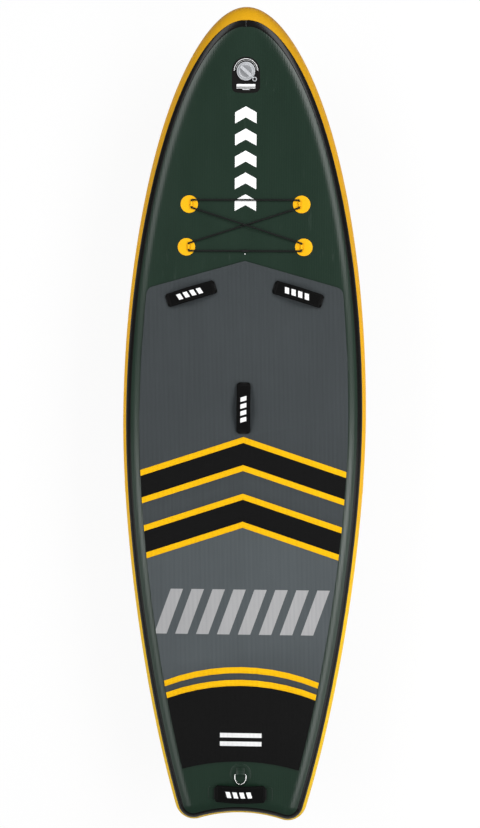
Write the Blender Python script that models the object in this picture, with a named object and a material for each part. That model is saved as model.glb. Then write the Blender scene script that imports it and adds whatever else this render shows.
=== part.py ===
"""An inflatable stand-up paddle board, built as separate pieces.

Units are metres. +Y runs to the nose, +X to the board's right seen from above, +Z is up. The
origin is the middle of the flat bottom. The hull is a drop-stitch air chamber with half-round
rails, wrapped in a deck skin, a bottom skin, an outer rail strip and two seam tapes. On the deck
lie a foam pad with inlays, four handles, a bungee, a leash ring and the inflation valve, and under
the tail are a slide-in centre fin and two side fins.
"""

import math
from collections import namedtuple
from functools import lru_cache

import bmesh
import bpy
from mathutils import Matrix, Vector

# Hull
LENGTH = 2.896
WIDTH = 0.876
THICKNESS = 0.150
RAIL_DEPTH = 0.070          # from the flat deck's edge out to the rail's widest line
NOSE_DEPTH_GAIN = 0.027     # how much deeper the rail is at the nose tip
NOSE_DEPTH_REACH = 1.300    # distance from the tip at which that gain has run out
NOSE_RISE = 0.110           # how far the nose tip is lifted
ROCKER_START = 0.560        # where the flat bottom begins to curve up
ROCKER_POWER = 2.2
NOSE_FULLNESS = 1.95        # exponent of the outline ahead of the widest line
NOSE_PINCH = 0.25           # how much that exponent falls at the tip
TAIL_TAPER = 0.497          # share of the half width lost at the tail
TAIL_CURVE = 1.83
TAIL_BULGE = 0.12           # fullness kept ahead of the tail corners
TAIL_ARC_RADIUS = 0.500     # concave curve between the tail corners

# Skins and tapes
GAP = 0.0003                # clearance between pieces that touch
SKIN = 0.0012
TAPE = 0.0009
TAPE_ANGLE = 20.0           # degrees of the rail that a seam tape covers on the sides
SIDE_SEAM_ANGLE = 38.2      # degrees above the rail's middle where the tape begins
SHOULDER_SEAM_RISE = 6.0    # how much higher it runs along the nose's shoulders
SHOULDER_SEAM_REACH = 1.000
NOSE_SEAM_RISE = 23.0       # what the tip adds to that
NOSE_SEAM_REACH = 0.160     # distance from the tip at which half of it is gone
SEAM_SLIT_ANGLE = 0.12      # half the slit between rail strip and skin, in degrees

# Faceting of the hull
FRONT_STEPS = 13
AFT_STEPS = 7
CORNER_STEPS = 5
TAIL_STEPS = 3
SIDES_ROUND = 20            # facets round a turned piece

# Deck pad
PAD_THICKNESS = 0.005
PAD_MARGIN = 0.066          # from the rail's widest line in to the pad's side
PAD_STEPS = 26
PAD_APEX_Y = 0.5565
PAD_FRONT_SLOPE = 0.282
PAD_CORNER_RADIUS = 0.030
STRIPE = 0.0218             # width of the yellow pad stripes
CHEVRON_TOP_Y = -0.0690     # apex of the first chevron stripe
CHEVRON_SLOPE = 0.330
CHEVRON_BAND = 0.078        # width of a black chevron
CHEVRON_SPACE = 0.080       # grey between the two black chevrons
ARC_RADIUS = 0.750
ARC_TOP_Y = -0.887
ARC_SPACE = 0.0235          # grey between the yellow arcs
PAD_TAIL_Y = 0.2248 - LENGTH / 2
PAD_TAIL_RADIUS = 0.760

# Bonded patches
PATCH = 0.0012
PATCH_EDGE = 0.0005         # how much a patch's rim is thinned
PATCH_CORNER = 0.008

# Bungee
BUNGEE_PATCH_RADIUS = 0.031
BUNGEE_FRONT = (0.1998, 0.7578)
BUNGEE_REAR = (0.2088, 0.6061)
BUNGEE_RADIUS = 0.003
BRIDGE_LENGTH = 0.016
BRIDGE_WALL = 0.0014
BRIDGE_INSET = 0.008        # from the patch's middle towards the board's middle
JOINER_RADIUS = 0.0046
JOINER_LENGTH = 0.024
JOINER_EDGE = 0.0008
CORD_END = 0.0008           # from each end of the cord to the joiner's middle

# Carry handles
STRAP_THICKNESS = 0.0020
STRAP_LOOP_RADIUS = 0.0045
STRAP_TAIL = 0.026          # sewn end of the strap, folded back under the grip
GRIP_WALL = 0.0033          # foam above and below the strap
GRIP_ROUND = (0.35, 0.55)   # how square the grip's section is, across and in height
GRIP_END = (0.97, 0.86)     # the grip's width and thickness at its ends, as shares
GRIP_SIDES = 12
ARCH_STEPS = 8
DECK_GRIP = (0.172, 0.049)
DECK_STRAP_WIDTH = 0.025
DECK_PATCH_INSET = 0.004    # how much narrower than the grip its patch is
RECESS_ROOM = 0.001         # between a patch and the pad round it
HANDLE_RISE = 0.027         # height of the strap at mid grip
FRONT_HANDLE_PLACE = (0.190, 0.4383)
FRONT_HANDLE_TURN = 17.0
CENTRE_HANDLE_Y = 0.0336
TAIL_GRIP = (0.176, 0.060)
TAIL_STRAP_WIDTH = 0.038
TAIL_HANDLE_Y = 0.111 - LENGTH / 2
TAIL_PATCH = (0.228, 0.046)

# Leash ring
LEASH_PATCH_RADIUS = 0.038
LEASH_Y = 0.179 - LENGTH / 2
RING_WIRE = 0.00225
RING_WIDTH = 0.0444
RING_LENGTH = 0.041
RING_CORNER = 0.0045
RING_LEGS = 0.0125          # from the bar to where the straight legs end
RING_POINT = 1.2            # exponent that draws the legs in to a soft point
TAB_WIDTH = 0.030
TAB_LENGTH = 0.024
TAB_THICKNESS = 0.0012
TAB_SEAM_START = 0.45       # share of the tab's length from which its two layers are sewn

# Inflation valve, heights above the deck
VALVE_Y = LENGTH / 2 - 0.230
LABEL_SIZE = (0.098, 0.122)
LABEL_SHIFT = -0.013        # the label reaches further towards the tail than the nose
LABEL_CORNER = 0.014
LABEL_BOW = 0.005
LABEL = 0.0010
GASKET = 0.0012
TETHER = 0.0010
FLANGE = 0.0030
FLANGE_RADIUS = 0.0323
FLANGE_EDGE = 0.0012
RING_INSET = 0.0020         # gasket and tether ring stay inside the flange's rim
BARREL_RADIUS = 0.0220
MOUTH_RADIUS = 0.0200
SEAT_RADIUS = 0.0140
SEAT_EDGE = 0.0010
BARREL_DEPTH = 0.0200       # below the deck
BARREL_WELL_DEPTH = 0.0400
BACK_NUT = (0.0290, 0.0080)
BACK_NUT_DROP = 0.0015      # from the chamber's cloth down to the nut
STEM_RADIUS = 0.0025
PLUNGER_RADIUS = 0.0170
PLUNGER_DISC = 0.0030
PLUNGER_EDGE = 0.0010
BUTTON_RADIUS = 0.0055
BUTTON = (0.0060, 0.0015)   # its lower and upper faces, below the flange's top
BUTTON_ROOM = 0.0025        # round the button inside the cap's plug
SPIDER = 0.0030
SPIDER_DROP = 0.0040        # below the floor that the cap's plug stops above
SPIDER_ARM = 0.0030
SPIDER_HUB = 0.0025         # wall round the plunger's stem
SPRING_WIRE = 0.00045
SPRING_TURNS = 5
SPRING_FACETS = 9
SPRING_ROOM = 0.0010        # between the stem and the spring
CAP_RADIUS = 0.0270
CAP_HEIGHT = 0.0062
CAP_WALL = 0.0030
CAP_DOME = ((0.0, 0.0022), (0.0013, 0.0042), (0.0060, 0.0057), (0.0140, CAP_HEIGHT))
PLUG_RADIUS = 0.0185
PLUG_DEPTH = 0.0090
PLUG_ROOM = 0.0020          # under the plug
SEAL = (0.0060, 0.0035)     # the cap seal's lower and upper faces, below the flange's top
CAP_BAR = (0.046, 0.0130, 0.0085)
CAP_BAR_SINK = 0.0020
CAP_GROOVE = (0.010, 0.008, 0.0030)     # how much shorter and narrower than the bar, and its depth
CAP_BAR_TURN = -42.0
EYELET_RADIUS = 0.0080
EYELET_HOLE = 0.0042
EYELET_PLACE = FLANGE_RADIUS + EYELET_RADIUS + 0.0010   # from the valve's axis
EYELET_PEG = EYELET_HOLE - 2 * GAP
PEG_HEIGHT = 0.0035         # above the flange
TETHER_TONGUE = (0.0060, 0.0060)        # its width, and how far under the flange it starts
NECK_WIDTH = 0.0060
NECK_SINK = 0.0040          # how far the eyelet's neck runs into the cap

# Fins, below the bottom
FIN_BOX_Y = 0.348 - LENGTH / 2
FIN_PATCH = (0.130, 0.360)
FIN_CORNERS = (0.030, 0.024, 0.010)     # corner radii of the patch, the base and the body
FIN_BOX_BASE = (0.100, 0.330)
FIN_BOX_FLANGE = 0.0025
FIN_BOX_BODY = (0.032, 0.270)
FIN_BOX_DEPTH = 0.0260
SLOT = (0.0100, 0.232)
SLOT_DEPTH = 0.0230
CHANNEL_WIDTH = 0.0165
CHANNEL_HEIGHT = 0.0050
CHANNEL_DEPTH = 0.0155      # from the mouth up to the channel's lower lip
ENTRY_LENGTH = 0.014
TAB = (0.0094, 0.165)
TAB_HEIGHT = 0.0215
LEDGE = (0.0205, 0.0060)    # front step of the tab that the screw holds
FIN_DEPTH = 0.200
FIN_CHORD = 0.142
FIN_TIP_CHORD = 0.046
FIN_SWEEP = 0.120
FIN_THICKNESS = 0.0090
PIN_RADIUS = 0.0020
PIN_LENGTH = 0.0155
PLATE = (0.0155, 0.0100, 0.0032)
SCREW_RADIUS = 0.0020
SCREW_HEAD = (0.0042, 0.0028)
SCREW_RECESS = (0.0019, 0.0012)         # the head's socket: radius and depth
SCREW_LEAD = 0.0015         # screw showing above the nut plate
SHOULDER = 0.0005           # the fin's root stands this far out of the slot
PIN_INSET = 0.012           # from the root's rear end
ROOT_OVERLAP = 0.004        # how far the blade runs up into its root
SIDE_FIN_PLACE = (0.185, 0.318 - LENGTH / 2)
SIDE_FIN_BASE = (0.042, 0.150)
SIDE_FIN_CORNER = 0.018
SIDE_FIN_FLANGE = 0.0025
SIDE_FIN_DEPTH = 0.108
SIDE_FIN_CHORD = 0.122
SIDE_FIN_TIP_CHORD = 0.034
SIDE_FIN_SWEEP = 0.062
SIDE_FIN_THICKNESS = 0.0080
SIDE_FIN_CANT = 6.0
SIDE_FIN_TOE = 2.0

HALF = THICKNESS / 2
NOSE_Y = LENGTH / 2
RUN = 0.002                 # how far a cutter runs past the wall it cuts
SHARP = 0.0005              # corner radius of what is moulded nearly square
BITE = 0.001                # how far joined shapes reach into each other
Station = namedtuple("Station", "inner normal depth seam")


def clear_scene():
    """Remove whatever the scene starts with."""
    for thing in list(bpy.data.objects):
        bpy.data.objects.remove(thing)


def material(name, colour, roughness, metallic=0.0):
    """A plain Principled material, made once for each name."""
    found = bpy.data.materials.get(name)
    if found:
        return found
    made = bpy.data.materials.new(name)
    made.use_nodes = True
    shader = made.node_tree.nodes["Principled BSDF"]
    shader.inputs["Base Color"].default_value = (*colour, 1.0)
    shader.inputs["Roughness"].default_value = roughness
    shader.inputs["Metallic"].default_value = metallic
    made.diffuse_color = (*colour, 1.0)
    return made


def finishes():
    """The materials, by the name that the pieces use."""
    return {
        "core": material("drop_stitch_white", (0.62, 0.62, 0.60), 0.8),
        "green": material("pvc_green", (0.018, 0.034, 0.024), 0.38),
        "yellow": material("pvc_yellow", (0.90, 0.47, 0.018), 0.40),
        "black": material("pvc_black", (0.012, 0.011, 0.011), 0.42),
        "foam_grey": material("foam_grey", (0.072, 0.080, 0.087), 0.80),
        "foam_black": material("foam_black", (0.012, 0.012, 0.012), 0.82),
        "foam_yellow": material("foam_yellow", (0.94, 0.52, 0.012), 0.75),
        "neoprene": material("neoprene_black", (0.008, 0.008, 0.008), 0.85),
        "webbing": material("webbing_black", (0.010, 0.010, 0.010), 0.80),
        "cord": material("elastic_black", (0.010, 0.012, 0.010), 0.75),
        "valve": material("valve_grey", (0.60, 0.61, 0.63), 0.35),
        "rubber": material("seal_rubber", (0.020, 0.020, 0.020), 0.60),
        "steel": material("stainless", (0.72, 0.72, 0.70), 0.22, 1.0),
        "brass": material("brass", (0.70, 0.48, 0.16), 0.30, 1.0),
        "fin": material("fin_black", (0.014, 0.014, 0.015), 0.30),
    }


def add_object(name, bm, finish, parent=None, matrix=None, smooth=None):
    """Turn a bmesh into a named object, with its normals outward."""
    bmesh.ops.recalc_face_normals(bm, faces=bm.faces)
    mesh = bpy.data.meshes.new(name)
    bm.to_mesh(mesh)
    bm.free()
    if smooth:
        mesh.shade_smooth()
        mesh.set_sharp_from_angle(angle=math.radians(smooth))
    mesh.materials.append(finish)
    made = bpy.data.objects.new(name, mesh)
    bpy.context.scene.collection.objects.link(made)
    made.parent = parent
    if matrix:
        made.matrix_local = matrix
    return made


def add_empty(name, matrix, parent=None):
    """A mounting frame that fittings hang from."""
    frame = bpy.data.objects.new(name, None)
    frame.empty_display_size = 0.05
    bpy.context.scene.collection.objects.link(frame)
    frame.parent = parent
    frame.matrix_local = matrix
    return frame


def as_cutter(made):
    """Keep a helper shape out of the model."""
    made.hide_render = True
    made.display_type = "WIRE"
    return made


def boolean(target, tool, operation="DIFFERENCE"):
    """Cut a tool out of a piece, or join it on."""
    modifier = target.modifiers.new(f"{operation.lower()}_{tool.name}", "BOOLEAN")
    modifier.operation = operation
    modifier.object = tool
    modifier.solver = "EXACT"
    as_cutter(tool)


def prism(outline, bottom, top):
    """A flat piece: a closed outline in X and Y between two heights."""
    bm = bmesh.new()
    face = bm.faces.new([bm.verts.new((x, y, bottom)) for x, y in outline])
    lifted = bmesh.ops.extrude_face_region(bm, geom=[face])["geom"]
    verts = [v for v in lifted if isinstance(v, bmesh.types.BMVert)]
    bmesh.ops.translate(bm, vec=(0, 0, top - bottom), verts=verts)
    return bm


def ring_loft(rings, closed=False):
    """Join rings of equally many points into one skin, capped at both ends unless closed."""
    bm = bmesh.new()
    rows = [[bm.verts.new(point) for point in ring] for ring in rings]
    count = len(rows[0])
    pairs = list(zip(rows, rows[1:]))
    if closed:
        pairs.append((rows[-1], rows[0]))
    for near, far in pairs:
        for i in range(count):
            j = (i + 1) % count
            bm.faces.new((near[i], near[j], far[j], far[i]))
    if not closed:
        bm.faces.new(list(reversed(rows[0])))
        bm.faces.new(rows[-1])
    return bm


def turned(profile, sides=SIDES_ROUND):
    """Spin a closed profile of (radius, height) points about Z. Points at radius 0 lie on the axis."""
    bm = bmesh.new()
    axis = {}
    rows = []
    for k in range(sides):
        angle = 2 * math.pi * k / sides
        row = []
        for i, (radius, height) in enumerate(profile):
            if radius == 0 and i in axis:
                row.append(axis[i])
                continue
            vert = bm.verts.new((radius * math.cos(angle), radius * math.sin(angle), height))
            if radius == 0:
                axis[i] = vert
            row.append(vert)
        rows.append(row)
    count = len(profile)
    for near, far in zip(rows, rows[1:] + rows[:1]):
        for i in range(count):
            j = (i + 1) % count
            corners = list(dict.fromkeys((near[i], near[j], far[j], far[i])))
            if len(corners) > 2:
                bm.faces.new(corners)
    return bm


def rod(radius, bottom, top, sides=SIDES_ROUND):
    """A plain round bar about Z."""
    return turned([(0, bottom), (radius, bottom), (radius, top), (0, top)], sides)


def rounded_rectangle(width, length, radius, steps=3):
    """Corner points of a rectangle with round corners, centred on the origin."""
    points = []
    for cx, cy, start in (
        (width / 2 - radius, length / 2 - radius, 0),
        (radius - width / 2, length / 2 - radius, 90),
        (radius - width / 2, radius - length / 2, 180),
        (width / 2 - radius, radius - length / 2, 270),
    ):
        for k in range(steps + 1):
            angle = math.radians(start + 90 * k / steps)
            points.append((cx + radius * math.cos(angle), cy + radius * math.sin(angle)))
    return points


def ribbon(points, thickness):
    """The outline of a strip of even thickness along a path of 2D points."""
    left, right = [], []
    for i, here in enumerate(points):
        before = points[max(i - 1, 0)]
        after = points[min(i + 1, len(points) - 1)]
        along = Vector((after[0] - before[0], after[1] - before[1])).normalized()
        side = Vector((-along.y, along.x)) * thickness / 2
        left.append((here[0] + side.x, here[1] + side.y))
        right.append((here[0] - side.x, here[1] - side.y))
    return left + right[::-1]


def extruded_across(outline, width):
    """A closed outline in X and Z, as wide as given along Y and centred there."""
    bm = bmesh.new()
    face = bm.faces.new([bm.verts.new((x, -width / 2, z)) for x, z in outline])
    moved = bmesh.ops.extrude_face_region(bm, geom=[face])["geom"]
    verts = [v for v in moved if isinstance(v, bmesh.types.BMVert)]
    bmesh.ops.translate(bm, vec=(0, width, 0), verts=verts)
    return bm


def tube(points, radius, sides, closed=False):
    """A round tube along a path of 3D points."""
    count = len(points)
    rings = []
    side = None
    for i, point in enumerate(points):
        before = points[i - 1] if i or closed else point
        after = points[(i + 1) % count] if i < count - 1 or closed else point
        along = (Vector(after) - Vector(before)).normalized()
        if side is None:
            side = along.orthogonal()
        side = (side - along * side.dot(along)).normalized()
        up = along.cross(side)
        ring = []
        for k in range(sides):
            angle = 2 * math.pi * k / sides
            ring.append(Vector(point) + radius * (math.cos(angle) * side + math.sin(angle) * up))
        rings.append(ring)
    return ring_loft(rings, closed)


def rocker(y):
    """How far the hull is lifted at a place along its length."""
    ahead = max(0.0, y - ROCKER_START) / (NOSE_Y - ROCKER_START)
    return NOSE_RISE * ahead**ROCKER_POWER


def widest_line(t):
    """A point of the right side's widest line: t is 0 at the nose tip, 1 amidships, 2 at the tail."""
    if t <= 1:
        u = 1 - t * t
        power = NOSE_FULLNESS - NOSE_PINCH * u**6
        return Vector((WIDTH / 2 * math.sqrt(max(0.0, 1 - u**power)), NOSE_Y * u))
    u = t - 1
    share = 1 - TAIL_TAPER * u**TAIL_CURVE + TAIL_BULGE * u**4 * (1 - u)
    return Vector((WIDTH / 2 * share, -LENGTH / 2 * u))


def outward(t, step=1e-4):
    """The outline's outward direction in plan."""
    if t < step:
        return Vector((0.0, 1.0))
    along = widest_line(t + step) - widest_line(t - step)
    return Vector((-along.y, along.x)).normalized()


def inset_point(t, distance):
    """The point that far inside the widest line."""
    return widest_line(t) - outward(t) * distance


def solve(function, low, high):
    """Where a function that rises from low to high crosses zero."""
    for _ in range(60):
        middle = (low + high) / 2
        if function(middle) < 0:
            low = middle
        else:
            high = middle
    return (low + high) / 2


def seam_angle(distance):
    """Where the seam tape begins on the rail, by the distance from the nose tip along it."""
    shoulder = SHOULDER_SEAM_RISE / (1 + (distance / SHOULDER_SEAM_REACH) ** 6)
    tip = NOSE_SEAM_RISE / (1 + (distance / NOSE_SEAM_REACH) ** 2)
    return SIDE_SEAM_ANGLE + shoulder + tip


def rail_depth(distance):
    """How far the rail reaches out from the flats, by the same distance."""
    return RAIL_DEPTH + NOSE_DEPTH_GAIN * max(0.0, 1 - distance / NOSE_DEPTH_REACH) ** 2


def half_stations():
    """Stations down the right side and across half the tail, from the nose tip to the tail's middle."""
    corner_y = RAIL_DEPTH - LENGTH / 2
    corner_t = solve(lambda t: corner_y - inset_point(t, RAIL_DEPTH).y, 1.0, 2.0)
    side = [k / FRONT_STEPS for k in range(FRONT_STEPS)]
    side += [1 + (corner_t - 1) * k / AFT_STEPS for k in range(AFT_STEPS + 1)]
    places = [(widest_line(t), outward(t)) for t in side]
    last_normal = places[-1][1]
    corner = places[-1][0] - last_normal * RAIL_DEPTH
    reach = TAIL_ARC_RADIUS + RAIL_DEPTH
    centre = Vector((0.0, corner.y - math.sqrt(reach**2 - corner.x**2)))
    start = math.atan2(last_normal.y, last_normal.x)
    end = math.atan2(centre.y - corner.y, centre.x - corner.x)
    for k in range(1, CORNER_STEPS + 1):
        angle = start + (end - start) * k / CORNER_STEPS
        normal = Vector((math.cos(angle), math.sin(angle)))
        places.append((corner + normal * RAIL_DEPTH, normal))
    for k in range(1, TAIL_STEPS + 1):
        x = corner.x * (1 - k / TAIL_STEPS)
        point = Vector((x, centre.y + math.sqrt(reach**2 - x * x)))
        normal = (centre - point).normalized()
        places.append((point + normal * RAIL_DEPTH, normal))
    stations = []
    travelled = 0.0
    previous = places[0][0]
    for edge, normal in places:
        travelled += (edge - previous).length
        previous = edge
        depth = rail_depth(travelled)
        stations.append(Station(edge - normal * depth, normal, depth, seam_angle(travelled)))
    return stations


def all_stations(half):
    """The right half's stations, then the left half's back to the nose."""
    mirrored = [
        Station(Vector((-s.inner.x, s.inner.y)), Vector((-s.normal.x, s.normal.y)), s.depth, s.seam)
        for s in half[-2:0:-1]
    ]
    return half + mirrored


def rail_point(station, degrees, offset):
    """A point of the rail's round section, that far outside the skins' outer surface."""
    angle = math.radians(degrees)
    flat = station.inner + station.normal * (station.depth + offset) * math.cos(angle)
    if abs(degrees) == 90:
        flat = station.inner
    height = HALF + rocker(flat.y) + (HALF + offset) * math.sin(angle)
    return (flat.x, flat.y, height)


def strip_angles(station, low, high):
    """The rail's fixed angles between two shares of the quarter round, for one side of the middle."""
    seam = station.seam
    top = seam + TAPE_ANGLE * RAIL_DEPTH / station.depth
    grid = [0.0, seam / 2, seam, (seam + top) / 2, top, (top + 90) / 2, 90.0]
    return grid[low:high + 1]


def both_ways(angles):
    """Angles above the rail's middle, mirrored below it."""
    return [-a for a in reversed(angles[1:])] + angles


def plate_faces(bm, row):
    """Close a flat deck or bottom whose edge is a full row of verts, in strips across the board."""
    count = len(row)
    half = count // 2
    tail_top = row[half].co.y
    last = max(k for k in range(half) if row[k].co.y > tail_top and k <= FRONT_STEPS + AFT_STEPS)
    for k in range(last):
        corners = (row[k], row[k + 1], row[-(k + 1)], row[-k])
        if k == 0:
            corners = (row[0], row[1], row[-1])
        bm.faces.new(corners)
    bm.faces.new(list(dict.fromkeys(row[last:count - last + 1])))


def merged_rows(bm, stations, angles_of, offset):
    """Rows of verts round the board, one for each angle, with points that coincide shared."""
    known = {}

    def vert(point):
        key = tuple(round(c, 7) for c in point)
        if key not in known:
            known[key] = bm.verts.new(point)
        return known[key]

    columns = [[vert(rail_point(s, a, offset)) for a in angles_of(s)] for s in stations]
    return [list(row) for row in zip(*columns)]


def skin_between(bm, near, far):
    """Triangles between two rows, split alike in every layer. The near row is nearer the rail's middle."""
    count = len(near)
    for k in range(count):
        j = (k + 1) % count
        if k < count // 2:
            halves = ((near[k], near[j], far[j]), (near[k], far[j], far[k]))
        else:
            halves = ((near[k], near[j], far[k]), (near[j], far[j], far[k]))
        for corners in halves:
            if len(set(corners)) == 3:
                bm.faces.new(corners)


def rail_faces(bm, rows, middle):
    """Close all rows of one layer, where the middle row lies on the rail's widest line."""
    for i, (low, high) in enumerate(zip(rows, rows[1:])):
        if i < middle:
            skin_between(bm, high, low)
        else:
            skin_between(bm, low, high)


def chamber_mesh(stations):
    """The air chamber: the whole rail section and both flats."""
    bm = bmesh.new()
    offset = -(SKIN + GAP)
    rows = merged_rows(bm, stations, lambda s: both_ways(strip_angles(s, 0, 6)), offset)
    rail_faces(bm, rows, len(rows) // 2)
    plate_faces(bm, rows[0])
    plate_faces(bm, rows[-1])
    return bm


def skin_mesh(stations, side):
    """The deck skin for side 1 or the bottom skin for side -1: a flat and its rounded edge."""
    bm = bmesh.new()

    def angles(station):
        found = strip_angles(station, 3, 6)
        found[0] += SEAM_SLIT_ANGLE
        return [side * a for a in found]

    outer = merged_rows(bm, stations, angles, 0.0)
    inner = merged_rows(bm, stations, angles, -SKIN)
    for rows in (outer, inner):
        rail_faces(bm, rows, 0)
        plate_faces(bm, rows[-1])
    skin_between(bm, outer[0], inner[0])
    return bm


def strip_mesh(stations, angles_of, inner, outer, middle):
    """A strip of even thickness round the whole rail."""
    bm = bmesh.new()
    layers = [merged_rows(bm, stations, angles_of, offset) for offset in (outer, inner)]
    for rows in layers:
        rail_faces(bm, rows, middle)
    for edge in (0, -1):
        skin_between(bm, layers[0][edge], layers[1][edge])
    return bm


@lru_cache(maxsize=None)
def deck_profile():
    """The deck's middle line as (y, height) points, ahead of the tail corners."""
    side = half_stations()[:FRONT_STEPS + AFT_STEPS]
    return [(station.inner.y, THICKNESS + rocker(station.inner.y)) for station in side]


def deck_height(y):
    """Height of the faceted deck skin on the board's middle line."""
    places = deck_profile()
    for (y_near, z_near), (y_far, z_far) in zip(places, places[1:]):
        if y >= y_far:
            share = (y - y_far) / (y_near - y_far)
            return z_far + (z_near - z_far) * share
    return THICKNESS


def seat(x, y, reach, turn=0.0):
    """The mounting frame of a fitting that is as long as twice the reach, on the deck at a place."""
    front, back = deck_height(y + reach), deck_height(y - reach)
    tilt = math.atan2(front - back, 2 * reach)
    place = Matrix.Translation((x, y, (front + back) / 2))
    return place @ Matrix.Rotation(tilt, 4, "X") @ Matrix.Rotation(math.radians(turn), 4, "Z")


def build_hull(finish):
    """Chamber, skins, rail strip and seam tapes."""
    stations = all_stations(half_stations())

    def band(station):
        found = strip_angles(station, 0, 3)
        found[-1] -= SEAM_SLIT_ANGLE
        return both_ways(found)

    def tape(side):
        return lambda station: [side * a for a in strip_angles(station, 2, 4)]

    chamber = add_object("air_chamber", chamber_mesh(stations), finish["core"], smooth=35)
    deck = add_object("deck_skin", skin_mesh(stations, 1), finish["green"], smooth=35)
    add_object("bottom_skin", skin_mesh(stations, -1), finish["green"], smooth=35)
    rail = strip_mesh(stations, band, -SKIN, 0.0, 3)
    add_object("rail_strip", rail, finish["yellow"], smooth=35)
    for name, side in (("deck_seam_tape", 1), ("bottom_seam_tape", -1)):
        strip = strip_mesh(stations, tape(side), GAP, GAP + TAPE, 0)
        add_object(name, strip, finish["black"], smooth=35)
    return chamber, deck


def pad_side_t(line):
    """Where the pad's right side meets a line y(x) across the board."""
    def ahead(t):
        point = inset_point(t, PAD_MARGIN)
        return line(point.x) - point.y

    return solve(ahead, 0.3, 1.98)


def arc_line(top, radius):
    """A line across the board, arched towards the nose."""
    return lambda x: top - radius + math.sqrt(radius * radius - x * x)


def chevron_line(apex, slope):
    """A line across the board that falls back evenly from its apex."""
    return lambda x: apex - slope * abs(x)


def across(line, half_width, kinked):
    """Points of a line from the right side to the left."""
    steps = 2 if kinked else 10
    return [(x, line(x)) for x in (half_width * (1 - 2 * k / steps) for k in range(steps + 1))]


def pad_outline(front, back, kinked_front, kinked_back):
    """A pad piece between two lines, its sides along the board's outline."""
    clear_front = lambda x: front(x) - GAP / 2
    clear_back = lambda x: back(x) + GAP / 2
    t_front, t_back = pad_side_t(clear_front), pad_side_t(clear_back)
    between = [k / PAD_STEPS * 2 for k in range(1, PAD_STEPS)]
    side = [inset_point(t, PAD_MARGIN) for t in between if t_front + 0.01 < t < t_back - 0.01]
    right = [(p.x, p.y) for p in side]
    left = [(-x, y) for x, y in reversed(right)]
    front_half = inset_point(t_front, PAD_MARGIN).x
    back_half = inset_point(t_back, PAD_MARGIN).x
    top = across(clear_front, front_half, kinked_front)[::-1]
    bottom = across(clear_back, back_half, kinked_back)
    return top + right + bottom + left


def soften_corners(outline, radius, wanted, steps=4):
    """Round the wanted corners of an outline, given as (x, y) points of it."""
    done = []
    count = len(outline)
    for i, point in enumerate(outline):
        if not any(math.dist(point, w) < radius / 10 for w in wanted):
            done.append(point)
            continue
        here = Vector(point)
        to_before = (Vector(outline[i - 1]) - here).normalized()
        to_after = (Vector(outline[(i + 1) % count]) - here).normalized()
        half = math.acos(to_before.dot(to_after)) / 2
        reach = radius / math.tan(half)
        start, end = here + to_before * reach, here + to_after * reach
        for k in range(steps + 1):
            share = k / steps
            bent = start * (1 - share) ** 2 + here * 2 * share * (1 - share) + end * share**2
            done.append((bent.x, bent.y))
    return done


def pad_layout():
    """The pad's pieces from nose to tail: name, finish, front line, back line, kinks."""
    chevron = lambda y: chevron_line(y, CHEVRON_SLOPE)
    arc = lambda y: arc_line(y, ARC_RADIUS)
    apex = chevron_line(PAD_APEX_Y, PAD_FRONT_SLOPE)
    cuts = [CHEVRON_TOP_Y]
    for width in (STRIPE, CHEVRON_BAND, STRIPE, CHEVRON_SPACE, STRIPE, CHEVRON_BAND, STRIPE):
        cuts.append(cuts[-1] - width)
    arcs = [ARC_TOP_Y]
    for width in (STRIPE, ARC_SPACE, STRIPE):
        arcs.append(arcs[-1] - width)
    tail = arc_line(PAD_TAIL_Y, PAD_TAIL_RADIUS)
    return [
        ("pad_grey_front", "foam_grey", apex, chevron(cuts[0]), True, True),
        ("pad_stripe_1", "foam_yellow", chevron(cuts[0]), chevron(cuts[1]), True, True),
        ("pad_chevron_front", "foam_black", chevron(cuts[1]), chevron(cuts[2]), True, True),
        ("pad_stripe_2", "foam_yellow", chevron(cuts[2]), chevron(cuts[3]), True, True),
        ("pad_grey_middle", "foam_grey", chevron(cuts[3]), chevron(cuts[4]), True, True),
        ("pad_stripe_3", "foam_yellow", chevron(cuts[4]), chevron(cuts[5]), True, True),
        ("pad_chevron_rear", "foam_black", chevron(cuts[5]), chevron(cuts[6]), True, True),
        ("pad_stripe_4", "foam_yellow", chevron(cuts[6]), chevron(cuts[7]), True, True),
        ("pad_grey_rear", "foam_grey", chevron(cuts[7]), arc(arcs[0]), True, False),
        ("pad_arc_upper", "foam_yellow", arc(arcs[0]), arc(arcs[1]), False, False),
        ("pad_grey_between_arcs", "foam_grey", arc(arcs[1]), arc(arcs[2]), False, False),
        ("pad_arc_lower", "foam_yellow", arc(arcs[2]), arc(arcs[3]), False, False),
        ("pad_tail", "foam_black", arc(arcs[3]), tail, False, False),
    ]


def build_pad(finish):
    """The foam deck pad. Its front piece is returned, because handles are let into it."""
    bottom = THICKNESS + GAP
    made = []
    for name, foam, front, back, kinked_front, kinked_back in pad_layout():
        outline = pad_outline(front, back, kinked_front, kinked_back)
        if name == "pad_grey_front":
            corner = max(outline, key=lambda p: p[0] + 0.5 * p[1])
            corners = (corner, (-corner[0], corner[1]))
            outline = soften_corners(outline, PAD_CORNER_RADIUS, corners)
        solid = prism(outline, bottom, bottom + PAD_THICKNESS)
        made.append(add_object(name, solid, finish[foam]))
    return made[0]


def bridge_profile():
    """The half-tube over the cord: an arch on two short legs, in X and Z."""
    hole = BUNGEE_RADIUS + GAP
    foot = GAP + PATCH / 2
    centre = GAP + PATCH + hole
    outer = [(hole + BRIDGE_WALL, foot)]
    inner = [(-hole, foot)]
    for k in range(7):
        angle = math.pi * k / 6
        cos, sin = math.cos(angle), math.sin(angle)
        outer.append(((hole + BRIDGE_WALL) * cos, centre + (hole + BRIDGE_WALL) * sin))
        inner.append((-hole * cos, centre + hole * sin))
    return outer + [(-hole - BRIDGE_WALL, foot)] + inner + [(hole, foot)]


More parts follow.
